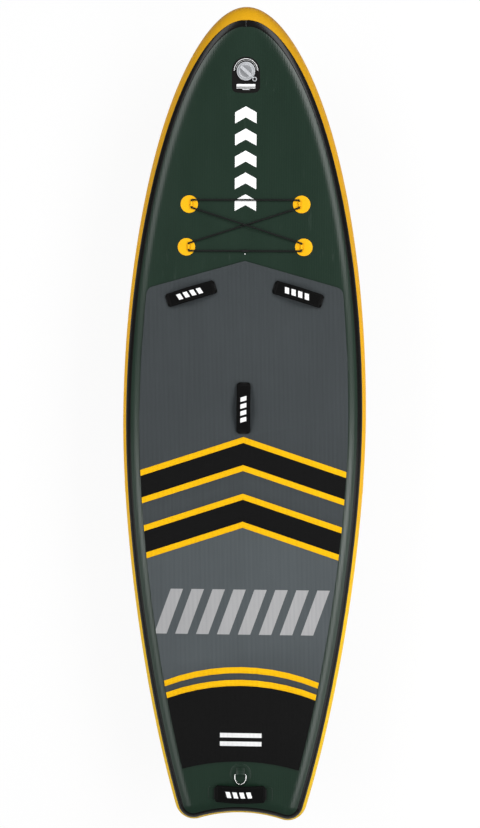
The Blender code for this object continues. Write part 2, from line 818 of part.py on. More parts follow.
def patch_disc(radius):
    """A round bonded patch with a thinned rim."""
    top = GAP + PATCH
    return turned([(0, GAP), (radius, GAP), (radius, top - PATCH_EDGE),
                   (radius - PATCH_EDGE, top), (0, top)])


def build_bungee_patch(name, x, y, finish):
    """A welded disc with a half-tube bridge that the cord passes under, along the board."""
    frame = add_empty(f"{name}_seat", seat(x, y, BUNGEE_PATCH_RADIUS))
    disc = patch_disc(BUNGEE_PATCH_RADIUS)
    patch = add_object(name, disc, finish["yellow"], frame, smooth=35)
    bm = extruded_across(bridge_profile(), BRIDGE_LENGTH)
    inset = -math.copysign(BRIDGE_INSET, x)
    bridge = add_object(f"{name}_bridge", bm, finish["yellow"], frame,
                        Matrix.Translation((inset, 0, 0)))
    boolean(patch, bridge, "UNION")
    return patch


def lacing_base(y):
    """Height of what lies under the cord: a patch's plane, or the deck between the patches."""
    for middle in (BUNGEE_FRONT[1], BUNGEE_REAR[1]):
        near, far = middle - BUNGEE_PATCH_RADIUS, middle + BUNGEE_PATCH_RADIUS
        if near < y < far:
            share = (y - near) / (far - near)
            return deck_height(near) * (1 - share) + deck_height(far) * share
    return deck_height(y)


def bungee_route():
    """Points of the cord's middle line, from inside the joiner once round and back to it."""
    low = GAP + PATCH + GAP + BUNGEE_RADIUS
    over = low + 2 * BUNGEE_RADIUS + 2 * GAP
    fx, fy = BUNGEE_FRONT[0] - BRIDGE_INSET, BUNGEE_FRONT[1]
    rx, ry = BUNGEE_REAR[0] - BRIDGE_INSET, BUNGEE_REAR[1]
    to_run = ((0.0060, 0.0145), (0.0030, 0.0137), (0.0008, 0.0115), (0.0, 0.0085))
    to_cross = ((0.0, 0.0085), (0.0005, 0.0109), (0.0020, 0.0130), (0.0041, 0.0142))
    rear_left = [(-rx + dx, ry - dy, low) for dx, dy in to_run]
    rear_left += [(-rx + dx, ry + dy, low) for dx, dy in to_cross]
    front_left = [(-fx + dx, fy - dy, low) for dx, dy in to_cross[::-1]]
    front_left += [(-fx + dx, fy + dy, low) for dx, dy in to_run[::-1]]
    front_right = [(-x, y, z) for x, y, z in front_left]
    rear_right = [(-x, y, z) for x, y, z in rear_left[::-1]]
    leave_x, leave_y = to_cross[-1]
    run = to_run[0][1]
    slope = (fy - ry - 2 * leave_y) / (fx + rx - 2 * leave_x)

    def diagonal(x):
        return ry + leave_y + slope * (x + rx - leave_x)

    route = [(-CORD_END, ry - run, low), (-0.100, ry - run, low)] + rear_left
    route += [(x, diagonal(x), low) for x in (-0.100, 0.0, 0.100)] + front_right
    route += [(x, fy + run, low) for x in (0.100, 0.0, -0.100)] + front_left[::-1]
    hump = ((-0.100, 0.45), (-0.040, 0.84), (-0.012, 1.0), (0.012, 1.0), (0.040, 0.84), (0.100, 0.45))
    route += [(x, diagonal(-x), low + (over - low) * share) for x, share in hump] + rear_right
    route += [(0.100, ry - run, low), (CORD_END, ry - run, low)]
    return [(x, y, lacing_base(y) + z) for x, y, z in route]


def build_bungee(finish):
    """Four patches, the elastic cord laced through them and the sleeve that joins its ends."""
    for row, (x, y) in (("front", BUNGEE_FRONT), ("rear", BUNGEE_REAR)):
        build_bungee_patch(f"bungee_patch_{row}_left", -x, y, finish)
        build_bungee_patch(f"bungee_patch_{row}_right", x, y, finish)
    route = bungee_route()
    curve = bpy.data.curves.new("bungee_cord", "CURVE")
    curve.dimensions = "3D"
    curve.bevel_depth = BUNGEE_RADIUS
    curve.bevel_resolution = 2
    curve.use_fill_caps = True
    spline = curve.splines.new("POLY")
    spline.points.add(len(route) - 1)
    for target, point in zip(spline.points, route):
        target.co = (*point, 1.0)
    curve.materials.append(finish["cord"])
    cord = bpy.data.objects.new("bungee_cord", curve)
    bpy.context.scene.collection.objects.link(cord)
    end = route[0]
    half = JOINER_LENGTH / 2
    bore = BUNGEE_RADIUS + GAP
    sleeve = turned([
        (bore, -half), (JOINER_RADIUS - JOINER_EDGE, -half), (JOINER_RADIUS, JOINER_EDGE - half),
        (JOINER_RADIUS, half - JOINER_EDGE), (JOINER_RADIUS - JOINER_EDGE, half), (bore, half),
    ], 12)
    turn = Matrix.Rotation(math.radians(90), 4, "Y")
    place = Matrix.Translation((0, end[1], end[2]))
    add_object("bungee_joiner", sleeve, finish["rubber"], matrix=place @ turn, smooth=35)


def arch_height(share, rise, ends):
    """Height of a handle's strap along its grip, with share running from -1 to 1."""
    return ends + (rise - ends) * (1 - share * share) ** 2


def strap_path(grip_length, rise):
    """The strap's middle line in X and Z: sewn end, fold, arch, fold, sewn end."""
    low = GAP + PATCH + GAP + STRAP_THICKNESS / 2
    ends = low + 2 * STRAP_LOOP_RADIUS
    reach = grip_length / 2
    arch = []
    for k in range(ARCH_STEPS + 1):
        share = -1 + 2 * k / ARCH_STEPS
        arch.append((share * reach, arch_height(share, rise, ends)))
    fold = []
    for k in range(5):
        angle = math.radians(270 - 180 * k / 4)
        fold.append((
            -reach + STRAP_LOOP_RADIUS * math.cos(angle),
            low + STRAP_LOOP_RADIUS + STRAP_LOOP_RADIUS * math.sin(angle),
        ))
    start = [(-reach + STRAP_TAIL, low)] + fold[:-1]
    return start + arch + [(-x, z) for x, z in reversed(start)]


def grip_rings(grip_length, width, strap_width, rise):
    """Sections of the padded grip and of the channel through it for the strap."""
    low = GAP + PATCH + GAP + STRAP_THICKNESS / 2
    ends = low + 2 * STRAP_LOOP_RADIUS
    reach = grip_length / 2
    hole_half = STRAP_THICKNESS / 2 + GAP
    hole_wide = strap_width / 2 + GAP
    outer, channel = [], []
    for k in range(ARCH_STEPS + 1):
        share = -1 + 2 * k / ARCH_STEPS
        middle = arch_height(share, rise, ends)
        narrower, thinner = GRIP_END if k in (0, ARCH_STEPS) else (1.0, 1.0)
        half_wide = width / 2 * narrower
        half_thick = (hole_half + GRIP_WALL) * thinner
        section = []
        for step in range(GRIP_SIDES):
            angle = 2 * math.pi * (step + 0.5) / GRIP_SIDES
            cos, sin = math.cos(angle), math.sin(angle)
            sideways = half_wide * math.copysign(abs(cos) ** GRIP_ROUND[0], cos)
            above = half_thick * math.copysign(abs(sin) ** GRIP_ROUND[1], sin)
            section.append((share * reach, sideways, middle + above))
        outer.append(section)
        channel.append([
            (share * reach, side * hole_wide, middle + up * hole_half)
            for side, up in ((1, -1), (1, 1), (-1, 1), (-1, -1))
        ])
    return outer, channel


def grip_mesh(grip_length, width, strap_width, rise):
    """The padded grip, open along its middle where the strap runs."""
    outer, channel = grip_rings(grip_length, width, strap_width, rise)
    bm = bmesh.new()
    skins = []
    for rings in (outer, channel):
        rows = [[bm.verts.new(point) for point in ring] for ring in rings]
        count = len(rows[0])
        for near, far in zip(rows, rows[1:]):
            for i in range(count):
                j = (i + 1) % count
                bm.faces.new((near[i], near[j], far[j], far[i]))
        skins.append(rows)
    for end in (0, -1):
        rim, corners = skins[0][end], skins[1][end]
        for i in range(len(rim)):
            j = (i + 1) % len(rim)
            per_corner = GRIP_SIDES // 4
            near = corners[(1 + i // per_corner) % 4]
            far = corners[(1 + j // per_corner) % 4]
            bm.faces.new(list(dict.fromkeys((rim[i], rim[j], far, near))))
    return bm


def build_handle(name, frame, size, strap_width, rise, patch_size, patch_finish, finish):
    """A carry handle: base patch, strap with its ends folded under, and padded grip."""
    length, width = size
    base = prism(rounded_rectangle(*patch_size, PATCH_CORNER), GAP, GAP + PATCH)
    add_object(f"{name}_patch", base, patch_finish, frame)
    strip = extruded_across(ribbon(strap_path(length, rise), STRAP_THICKNESS), strap_width)
    add_object(f"{name}_strap", strip, finish["webbing"], frame, smooth=50)
    grip = grip_mesh(length, width, strap_width, rise)
    add_object(f"{name}_grip", grip, finish["neoprene"], frame, smooth=50)


def build_handles(finish, pad_front):
    """Two front handles and one amidships let into the pad, and one on the bare tail."""
    length, width = DECK_GRIP
    patch_size = (length + 2 * STRAP_LOOP_RADIUS, width - DECK_PATCH_INSET)
    x, y = FRONT_HANDLE_PLACE
    places = (
        ("handle_front_left", -x, y, FRONT_HANDLE_TURN),
        ("handle_front_right", x, y, -FRONT_HANDLE_TURN),
        ("handle_centre", 0.0, CENTRE_HANDLE_Y, 90.0),
    )
    for name, px, py, turn in places:
        frame = add_empty(f"{name}_seat", seat(px, py, width / 2, turn))
        build_handle(name, frame, DECK_GRIP, DECK_STRAP_WIDTH, HANDLE_RISE,
                     patch_size, finish["black"], finish)
        recess = [side + 2 * RECESS_ROOM for side in patch_size]
        hole = rounded_rectangle(*recess, PATCH_CORNER + RECESS_ROOM)
        solid = prism(hole, -RUN, PAD_THICKNESS + RUN)
        cutter = add_object(f"{name}_recess", solid, finish["black"], frame)
        boolean(pad_front, cutter)
    frame = add_empty("handle_tail_seat", seat(0.0, TAIL_HANDLE_Y, TAIL_PATCH[1] / 2))
    build_handle("handle_tail", frame, TAIL_GRIP, TAIL_STRAP_WIDTH, HANDLE_RISE,
                 TAIL_PATCH, finish["green"], finish)


def ring_path():
    """The leash ring's wire: straight bar, two legs and a pointed round end, in X and Y."""
    half = RING_WIDTH / 2 - RING_WIRE
    tip = RING_LENGTH - 2 * RING_WIRE
    corner = RING_CORNER
    points = [(0.0, 0.0), (half - corner, 0.0)]
    for k in range(1, 4):
        angle = math.radians(90 - 90 * k / 3)
        points.append((half - corner + corner * math.cos(angle), corner * (math.sin(angle) - 1)))
    for k in range(8):
        angle = math.pi / 2 * k / 8
        points.append((half * math.cos(angle) ** RING_POINT,
                       -RING_LEGS - (tip - RING_LEGS) * math.sin(angle)))
    mirrored = [(-x, y) for x, y in reversed(points[1:])]
    return points + [(0.0, -tip)] + mirrored


def build_leash_ring(finish):
    """A round patch, a tab folded round the ring's bar, and the ring lying towards the tail."""
    frame = add_empty("leash_seat", seat(0.0, LEASH_Y, LEASH_PATCH_RADIUS))
    top = GAP + PATCH
    disc = patch_disc(LEASH_PATCH_RADIUS)
    add_object("leash_patch", disc, finish["green"], frame, smooth=35)
    bar_height = top + GAP + TAB_THICKNESS + GAP + RING_WIRE
    wrap = RING_WIRE + GAP + TAB_THICKNESS / 2
    low = bar_height - wrap
    upper = low + TAB_THICKNESS + GAP
    path = [(TAB_LENGTH, low), (0.0, low)]
    for k in range(1, 8):
        angle = math.radians(270 - 225 * k / 7)
        path.append((wrap * math.cos(angle), bar_height + wrap * math.sin(angle)))
    path += [(TAB_LENGTH * TAB_SEAM_START, upper), (TAB_LENGTH, upper)]
    strip = extruded_across(ribbon(path, TAB_THICKNESS), TAB_WIDTH)
    turn = Matrix.Rotation(math.radians(90), 4, "Z")
    add_object("leash_tab", strip, finish["green"], frame, turn, smooth=50)
    tip = RING_LENGTH - 2 * RING_WIRE
    fall = math.asin((bar_height - top - GAP - RING_WIRE) / tip)
    axis = add_empty("leash_ring_axis", Matrix.Translation((0, 0, bar_height))
                     @ Matrix.Rotation(fall, 4, "X"), frame)
    points = [(x, y, 0.0) for x, y in ring_path()]
    add_object("leash_ring", tube(points, RING_WIRE, 6, closed=True), finish["steel"], axis,
               smooth=60)


def label_outline():
    """The valve's label: half round towards the nose, slightly bowed with soft corners behind."""
    width, length = LABEL_SIZE
    half = width / 2
    front = length / 2 + LABEL_SHIFT - half
    back = LABEL_SHIFT - length / 2 + LABEL_BOW
    points = []
    for k in range(13):
        angle = math.pi * k / 12
        points.append((half * math.cos(angle), front + half * math.sin(angle)))
    for side in (-1, 1):
        corner = []
        for k in range(4):
            angle = math.radians(270 - 90 * k / 3)
            x = LABEL_CORNER - half + LABEL_CORNER * math.cos(angle)
            bow = LABEL_BOW * (1 - (x / half) ** 2)
            corner.append((x * -side, back + LABEL_CORNER * (1 + math.sin(angle)) - bow))
        points += corner[::-1] if side < 0 else corner
        if side < 0:
            points.append((0.0, back - LABEL_BOW))
    return points


def ring_profile(inner, outer, low, high):
    """A flat ring's section."""
    return [(inner, low), (outer, low), (outer, high), (inner, high)]


def valve_levels():
    """Heights above the deck of the valve's stacked pieces."""
    label = GAP + LABEL
    gasket = label + GAP + GASKET
    tether = gasket + GAP + TETHER
    flange = tether + GAP + FLANGE
    return label, gasket, tether, flange


def build_valve_body(finish, frame, levels):
    """Flange, barrel with its sealing seat, and the spider that guides the plunger."""
    _, _, tether, flange = levels
    under = tether + GAP
    plug_floor = flange - PLUG_DEPTH - PLUG_ROOM
    profile = [
        (MOUTH_RADIUS, flange), (MOUTH_RADIUS, plug_floor), (SEAT_RADIUS + SEAT_EDGE, plug_floor),
        (SEAT_RADIUS, plug_floor - SEAT_EDGE), (SEAT_RADIUS, -BARREL_DEPTH),
        (BARREL_RADIUS, -BARREL_DEPTH), (BARREL_RADIUS, under), (FLANGE_RADIUS, under),
        (FLANGE_RADIUS, flange - FLANGE_EDGE), (FLANGE_RADIUS - FLANGE_EDGE, flange),
    ]
    body = add_object("valve_body", turned(profile), finish["valve"], frame, smooth=35)
    top = plug_floor - SPIDER_DROP
    hub_radius = STEM_RADIUS + SPIDER_HUB
    hub = turned([(0, top - SPIDER), (hub_radius, top - SPIDER), (hub_radius, top), (0, top)], 12)
    boolean(body, add_object("valve_spider_hub", hub, finish["valve"], frame), "UNION")
    for k in range(2):
        arm = rounded_rectangle(2 * (SEAT_RADIUS + RUN), SPIDER_ARM, SHARP, 1)
        bar = prism(arm, top - SPIDER + GAP, top - GAP)
        turn = Matrix.Rotation(math.radians(45 + 90 * k), 4, "Z")
        arm_object = add_object(f"valve_spider_arm_{k}", bar, finish["valve"], frame, turn)
        boolean(body, arm_object, "UNION")
    bore = rod(STEM_RADIUS + GAP, top - SPIDER - RUN, top + RUN, 12)
    boolean(body, add_object("valve_spider_bore", bore, finish["valve"], frame))
    return top


def build_plunger(finish, frame, spider_top, levels):
    """The plunger and the spring that lifts it against the seat."""
    button_low = levels[3] - BUTTON[0]
    button_top = levels[3] - BUTTON[1]
    disc_top = -BARREL_DEPTH - GAP
    disc_low = disc_top - PLUNGER_DISC
    profile = [
        (0, disc_low), (PLUNGER_RADIUS - PLUNGER_EDGE, disc_low),
        (PLUNGER_RADIUS, disc_low + PLUNGER_EDGE),
        (PLUNGER_RADIUS, disc_top), (STEM_RADIUS, disc_top), (STEM_RADIUS, button_low),
        (BUTTON_RADIUS, button_low), (BUTTON_RADIUS, button_top - PLUNGER_EDGE),
        (BUTTON_RADIUS - PLUNGER_EDGE, button_top), (0, button_top),
    ]
    add_object("valve_plunger", turned(profile, 16), finish["fin"], frame, smooth=35)
    low = spider_top + GAP + SPRING_WIRE
    high = button_low - GAP - SPRING_WIRE
    radius = STEM_RADIUS + SPRING_ROOM + SPRING_WIRE
    points = []
    steps = SPRING_TURNS * SPRING_FACETS
    for k in range(steps + 1):
        angle = 2 * math.pi * k / SPRING_FACETS
        height = low + (high - low) * k / steps
        points.append((radius * math.cos(angle), radius * math.sin(angle), height))
    add_object("valve_spring", tube(points, SPRING_WIRE, 4), finish["steel"], frame, smooth=60)


def build_cap(finish, frame, levels):
    """The cap: domed top with a grip bar, a plug with its seal, and an eyelet for the tether."""
    flange = levels[3]
    seat_z = flange + GAP
    top = seat_z + CAP_HEIGHT
    plug_low = seat_z - PLUG_DEPTH
    inside = BUTTON_RADIUS + BUTTON_ROOM
    profile = [
        (0, top - CAP_WALL), (inside, top - CAP_WALL), (inside, plug_low),
        (PLUG_RADIUS, plug_low), (PLUG_RADIUS, seat_z), (CAP_RADIUS, seat_z),
    ]
    profile += [(CAP_RADIUS - inset, seat_z + height) for inset, height in CAP_DOME] + [(0, top)]
    cap = add_object("valve_cap", turned(profile), finish["valve"], frame, smooth=35)
    length, width, height = CAP_BAR
    turn = Matrix.Rotation(math.radians(CAP_BAR_TURN), 4, "Z")
    bar = prism(rounded_rectangle(length, width, width * 0.3), top - CAP_BAR_SINK, top + height)
    boolean(cap, add_object("valve_cap_bar", bar, finish["valve"], frame, turn), "UNION")
    shorter, narrower, depth = CAP_GROOVE
    groove = prism(rounded_rectangle(length - shorter, width - narrower, (width - narrower) * 0.3),
                   top + height - depth, top + height + RUN)
    boolean(cap, add_object("valve_cap_groove", groove, finish["valve"], frame, turn))
    eye_low, eye_top = levels[2] + 2 * GAP, top - CAP_BAR_SINK
    eye = turned(ring_profile(EYELET_HOLE, EYELET_RADIUS, eye_low, eye_top), 14)
    place = turn @ Matrix.Translation((EYELET_PLACE, 0, 0))
    neck_start, neck_end = CAP_RADIUS - NECK_SINK, EYELET_PLACE - EYELET_HOLE - BITE
    neck = prism(rounded_rectangle(neck_end - neck_start, NECK_WIDTH, SHARP, 1),
                 seat_z + BITE, eye_top - SHARP)
    neck_place = turn @ Matrix.Translation(((neck_start + neck_end) / 2, 0, 0))
    boolean(cap, add_object("valve_cap_neck", neck, finish["valve"], frame, neck_place), "UNION")
    boolean(cap, add_object("valve_cap_eye", eye, finish["valve"], frame, place), "UNION")
    seal = ring_profile(PLUG_RADIUS + GAP, MOUTH_RADIUS - GAP, flange - SEAL[0], flange - SEAL[1])
    add_object("valve_cap_seal", turned(seal), finish["rubber"], frame, smooth=35)


def build_valve(finish, chamber, deck):
    """The inflation valve, clamped through the deck skin."""
    frame = add_empty("valve_seat", seat(0.0, VALVE_Y, LABEL_SIZE[1] / 2))
    levels = valve_levels()
    label, gasket, tether, flange = levels
    hole = BARREL_RADIUS + GAP
    label_object = add_object("valve_label", prism(label_outline(), GAP, label), finish["black"],
                              frame)
    well = rod(hole, -BARREL_WELL_DEPTH, label + RUN)
    cutter = add_object("valve_hole", well, finish["core"], frame)
    for target in (label_object, deck, chamber):
        boolean(target, cutter)
    nut_radius, nut_height = BACK_NUT
    nut_low = -SKIN - 2 * GAP - BACK_NUT_DROP - nut_height
    pocket = rod(nut_radius + GAP, nut_low - GAP, RUN)
    boolean(chamber, add_object("back_nut_pocket", pocket, finish["core"], frame))
    nut = turned(ring_profile(hole, nut_radius, nut_low, nut_low + nut_height))
    add_object("valve_back_nut", nut, finish["valve"], frame, smooth=35)
    rim = FLANGE_RADIUS - RING_INSET
    ring = turned(ring_profile(hole, rim, label + GAP, gasket))
    add_object("valve_gasket", ring, finish["rubber"], frame, smooth=35)
    band = turned(ring_profile(hole, rim, gasket + GAP, tether))
    tether_ring = add_object("valve_tether_ring", band, finish["valve"], frame, smooth=35)
    turn = Matrix.Rotation(math.radians(CAP_BAR_TURN), 4, "Z")
    foot = gasket + GAP
    tongue_width, overlap = TETHER_TONGUE
    root = FLANGE_RADIUS - overlap
    sliver = TETHER / 10
    tongue = prism(rounded_rectangle(EYELET_PLACE - root, tongue_width, SHARP, 1), foot + sliver,
                   tether - sliver)
    tongue_place = turn @ Matrix.Translation(((EYELET_PLACE + root) / 2, 0, 0))
    pad = EYELET_RADIUS - BITE
    low, high = foot + 2 * sliver, tether - 2 * sliver
    knob = turned([(0, low), (pad, low), (pad, high), (EYELET_PEG, high),
                   (EYELET_PEG, flange + PEG_HEIGHT), (0, flange + PEG_HEIGHT)], 12)
    knob_place = turn @ Matrix.Translation((EYELET_PLACE, 0, 0))
    for name, bm, place in (("tether_tongue", tongue, tongue_place),
                            ("tether_knob", knob, knob_place)):
        boolean(tether_ring, add_object(name, bm, finish["valve"], frame, place), "UNION")
    spider_top = build_valve_body(finish, frame, levels)
    build_plunger(finish, frame, spider_top, levels)
    build_cap(finish, frame, levels)


def foil(chord, thickness, front):
    """A symmetric foil section in X and Y, its leading edge at the front."""
    points = []
    for k in range(12):
        angle = 2 * math.pi * k / 12
        back = chord * (1 - math.cos(angle)) / 2
        share = back / chord
        fullness = 2.6 * math.sqrt(share) * (1 - share) if share > 0 else 0.0
        points.append((math.copysign(thickness / 2 * fullness, math.sin(angle)), front - back))
    return points


def fin_mesh(root_z, root_front, depth, chord, tip_chord, sweep, thickness, overlap):
    """A swept fin blade hanging down, its sections foils that shrink towards the tip."""
    rings = []
    steps = 7
    for k in range(steps + 1):
        share = k / steps
        height = root_z + overlap - (depth + overlap) * share
        here = chord + (tip_chord - chord) * share**1.35
        front = root_front - sweep * share**1.6
        thin = thickness * (1 - 0.70 * share)
        rings.append([(x, y, height) for x, y in foil(here, thin, front)])
    return ring_loft(rings)


def fin_box_heights():
    """Heights of the box's bonded face, of its flange's lower face and of its mouth."""
    top = -(GAP + PATCH + GAP)
    flange = top - FIN_BOX_FLANGE
    return top, flange, flange - FIN_BOX_DEPTH


def build_fin_box(finish, frame):
    """The doubler patch and the box, its slot and side channels cut from below."""
    patch_corner, base_corner, body_corner = FIN_CORNERS
    doubler = prism(rounded_rectangle(*FIN_PATCH, patch_corner), -GAP - PATCH, -GAP)
    add_object("fin_box_patch", doubler, finish["green"], frame)
    top, flange, mouth = fin_box_heights()
    base = prism(rounded_rectangle(*FIN_BOX_BASE, base_corner), flange, top)
    box = add_object("fin_box", base, finish["fin"], frame)
    body = prism(rounded_rectangle(*FIN_BOX_BODY, body_corner), mouth, flange + BITE)
    boolean(box, add_object("fin_box_body", body, finish["fin"], frame), "UNION")
    slot = prism(rounded_rectangle(*SLOT, SHARP, 1), mouth - RUN, mouth + SLOT_DEPTH)
    boolean(box, add_object("fin_box_slot", slot, finish["fin"], frame))
    lip = mouth + CHANNEL_DEPTH - CHANNEL_HEIGHT
    channel = prism(rounded_rectangle(CHANNEL_WIDTH, SLOT[1], SHARP, 1),
                    lip, lip + CHANNEL_HEIGHT)
    boolean(box, add_object("fin_box_channel", channel, finish["fin"], frame))
    entry = prism(rounded_rectangle(CHANNEL_WIDTH, ENTRY_LENGTH, SHARP, 1), mouth - RUN,
                  lip + BITE)
    boolean(box, add_object("fin_box_entry", entry, finish["fin"], frame))
    return mouth, lip


def build_centre_fin(finish, frame, mouth, lip):
    """The slide-in fin with its cross pin, nut plate and screw."""
    tab_top = mouth + TAB_HEIGHT
    tab = prism(rounded_rectangle(*TAB, SHARP, 1), mouth - SHOULDER, tab_top)
    fin = add_object("centre_fin", tab, finish["fin"], frame, smooth=35)
    ledge_length, ledge_height = LEDGE
    front = TAB[1] / 2
    blade = fin_mesh(mouth, front - ledge_length - GAP, FIN_DEPTH, FIN_CHORD, FIN_TIP_CHORD,
                     FIN_SWEEP, FIN_THICKNESS, ROOT_OVERLAP)
    boolean(fin, add_object("centre_fin_blade", blade, finish["fin"], frame), "UNION")
    notch = prism(rounded_rectangle(TAB[0] + 2 * RUN, ledge_length + 2 * RUN, SHARP, 1),
                  mouth + ledge_height, tab_top + RUN)
    notch_place = Matrix.Translation((0, front - ledge_length / 2 + RUN, 0))
    boolean(fin, add_object("centre_fin_notch", notch, finish["fin"], frame, notch_place))
    screw_place = Matrix.Translation((0, front - ledge_length / 2, 0))
    hole_ends = (mouth - SHOULDER - RUN, tab_top)
    hole = rod(SCREW_RADIUS + GAP, *hole_ends, 12)
    boolean(fin, add_object("centre_fin_screw_hole", hole, finish["fin"], frame, screw_place))
    sideways = Matrix.Rotation(math.radians(90), 4, "Y")
    pin_place = Matrix.Translation((0, PIN_INSET - front, lip + CHANNEL_HEIGHT / 2)) @ sideways
    pin_hole = rod(PIN_RADIUS + GAP, -TAB[0], TAB[0], 12)
    boolean(fin, add_object("centre_fin_pin_hole", pin_hole, finish["fin"], frame, pin_place))
    pin = rod(PIN_RADIUS, -PIN_LENGTH / 2, PIN_LENGTH / 2, 12)
    add_object("fin_pin", pin, finish["brass"], frame, pin_place, smooth=35)
    plate_low = lip + GAP
    wide, long, thick = PLATE
    plate_solid = prism(rounded_rectangle(wide, long, SHARP, 1), plate_low, plate_low + thick)
    plate = add_object("fin_nut_plate", plate_solid, finish["steel"], frame, screw_place)
    thread = rod(SCREW_RADIUS + GAP, *hole_ends, 12)
    boolean(plate, add_object("fin_nut_plate_hole", thread, finish["steel"], frame, screw_place))
    build_fin_screw(finish, frame, screw_place, mouth, plate_low + thick)


def build_fin_screw(finish, frame, place, mouth, plate_top):
    """The fin screw, turned from below, its head under the root's front step."""
    radius, height = SCREW_HEAD
    socket_radius, socket_depth = SCREW_RECESS
    head_top = mouth - SHOULDER - GAP
    head_low = head_top - height
    end = plate_top + SCREW_LEAD
    axis = add_empty("fin_screw_axis", place, frame)
    profile = [
        (0, head_low + socket_depth), (socket_radius, head_low + socket_depth),
        (socket_radius, head_low), (radius - BITE, head_low), (radius, head_low + BITE),
        (radius, head_top), (SCREW_RADIUS, head_top), (SCREW_RADIUS, end - SHARP),
        (SCREW_RADIUS - SHARP, end), (0, end),
    ]
    add_object("fin_screw", turned(profile, 16), finish["steel"], axis, smooth=35)


def build_side_fins(finish):
    """Two small fins, each moulded with the base that is bonded to the bottom."""
    x, y = SIDE_FIN_PLACE
    for name, side in (("side_fin_left", -1), ("side_fin_right", 1)):
        place = Matrix.Translation((side * x, y, 0)) @ Matrix.Rotation(
            math.radians(side * SIDE_FIN_TOE), 4, "Z")
        frame = add_empty(f"{name}_seat", place)
        low = -GAP - SIDE_FIN_FLANGE
        base = prism(rounded_rectangle(*SIDE_FIN_BASE, SIDE_FIN_CORNER), low, -GAP)
        fin = add_object(name, base, finish["fin"], frame)
        blade = fin_mesh(low, SIDE_FIN_CHORD / 2, SIDE_FIN_DEPTH, SIDE_FIN_CHORD,
                         SIDE_FIN_TIP_CHORD, SIDE_FIN_SWEEP, SIDE_FIN_THICKNESS, BITE)
        cant = Matrix.Rotation(math.radians(-side * SIDE_FIN_CANT), 4, "Y")
        boolean(fin, add_object(f"{name}_blade", blade, finish["fin"], frame, cant), "UNION")


def main():
    clear_scene()
    finish = finishes()
    chamber, deck = build_hull(finish)
    pad_front = build_pad(finish)
    build_bungee(finish)
    build_handles(finish, pad_front)
    build_leash_ring(finish)
    build_valve(finish, chamber, deck)
    fin_frame = add_empty("fin_box_seat", Matrix.Translation((0, FIN_BOX_Y, 0)))
    mouth, lip = build_fin_box(finish, fin_frame)
    build_centre_fin(finish, fin_frame, mouth, lip)
    build_side_fins(finish)


main()
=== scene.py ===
# %% [markdown]
# # Dressing an inflatable paddle board
#
# The solids of the board are already built and packed. Here they are loaded as a fixed frame, and
# the visible surfaces are made finer and given their real finish: coated cloth, cut foam, webbing,
# neoprene, moulded plastic and steel. Every piece is placed in metres, in the frame of the solids.
# +Y runs to the nose, +X to the right seen from above, and the flat bottom lies at height 0.

from math import asin, atan2, copysign, cos, degrees, dist, exp, pi, radians, sin, sqrt

import bmesh
import bpy
from mathutils import Matrix, Vector, noise


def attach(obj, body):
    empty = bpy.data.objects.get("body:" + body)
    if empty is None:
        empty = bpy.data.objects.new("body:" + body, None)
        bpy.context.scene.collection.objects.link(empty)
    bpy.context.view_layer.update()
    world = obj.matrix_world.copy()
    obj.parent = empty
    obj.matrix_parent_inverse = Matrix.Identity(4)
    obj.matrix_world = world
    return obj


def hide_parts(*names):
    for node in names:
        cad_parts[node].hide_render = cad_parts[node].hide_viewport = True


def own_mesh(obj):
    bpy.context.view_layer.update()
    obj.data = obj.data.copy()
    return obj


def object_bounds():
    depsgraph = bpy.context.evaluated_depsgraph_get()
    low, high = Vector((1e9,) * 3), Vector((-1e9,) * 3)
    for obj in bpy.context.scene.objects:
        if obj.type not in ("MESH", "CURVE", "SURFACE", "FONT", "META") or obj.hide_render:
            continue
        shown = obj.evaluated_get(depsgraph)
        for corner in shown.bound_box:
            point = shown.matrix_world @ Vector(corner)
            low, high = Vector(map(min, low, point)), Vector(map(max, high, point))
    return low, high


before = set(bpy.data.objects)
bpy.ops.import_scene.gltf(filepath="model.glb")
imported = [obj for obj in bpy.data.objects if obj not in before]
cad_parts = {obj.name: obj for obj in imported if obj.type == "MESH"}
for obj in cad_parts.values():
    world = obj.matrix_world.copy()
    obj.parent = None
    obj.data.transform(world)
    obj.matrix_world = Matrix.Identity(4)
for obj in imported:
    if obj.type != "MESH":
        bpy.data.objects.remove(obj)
cad_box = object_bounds()
scene = bpy.context.scene

# %% [markdown]
# ## The camera
#
# The board is seen from straight above, from about five metres, a little from its right side.
# A camera is easier to control by two points and a roll than by angles: where it stands and what it
# looks at. From these come its three axes, and the roll turns two of them about the third. Lamps
# are aimed by the same function.

# %% Place the camera
FRAME_HEIGHT = 828
FOCAL_PIXELS = 1448.75
SENSOR = 36.0
EYE = Vector((0.1735, 0.0204, 5.3))
LOOKED_AT = Vector((-0.0128, 0.0124, 0.15))
ROLL = 0.008678


def facing(place, aim, roll=0.0):
    """The matrix of a camera or lamp that stands at a place and looks at a point."""
    ahead = (aim - place).normalized()
    level = ahead.cross(Vector((0.0, 1.0, 0.0))).normalized()
    upright = level.cross(ahead)
    right = level * cos(roll) + upright * sin(roll)
    up = upright * cos(roll) - level * sin(roll)
    return Matrix.Translation(place) @ Matrix((right, up, -ahead)).transposed().to_4x4()


def put(name, data):
    """Add an object to the scene."""
    thing = bpy.data.objects.new(name, data)
    scene.collection.objects.link(thing)
    return thing


camera_data = bpy.data.cameras.new("studio_camera")
camera_data.sensor_width = SENSOR
camera_data.lens = FOCAL_PIXELS / FRAME_HEIGHT * SENSOR
scene.camera = put("studio_camera", camera_data)
scene.camera.matrix_world = facing(EYE, LOOKED_AT, ROLL)
print("lens:", round(camera_data.lens, 2), "mm")

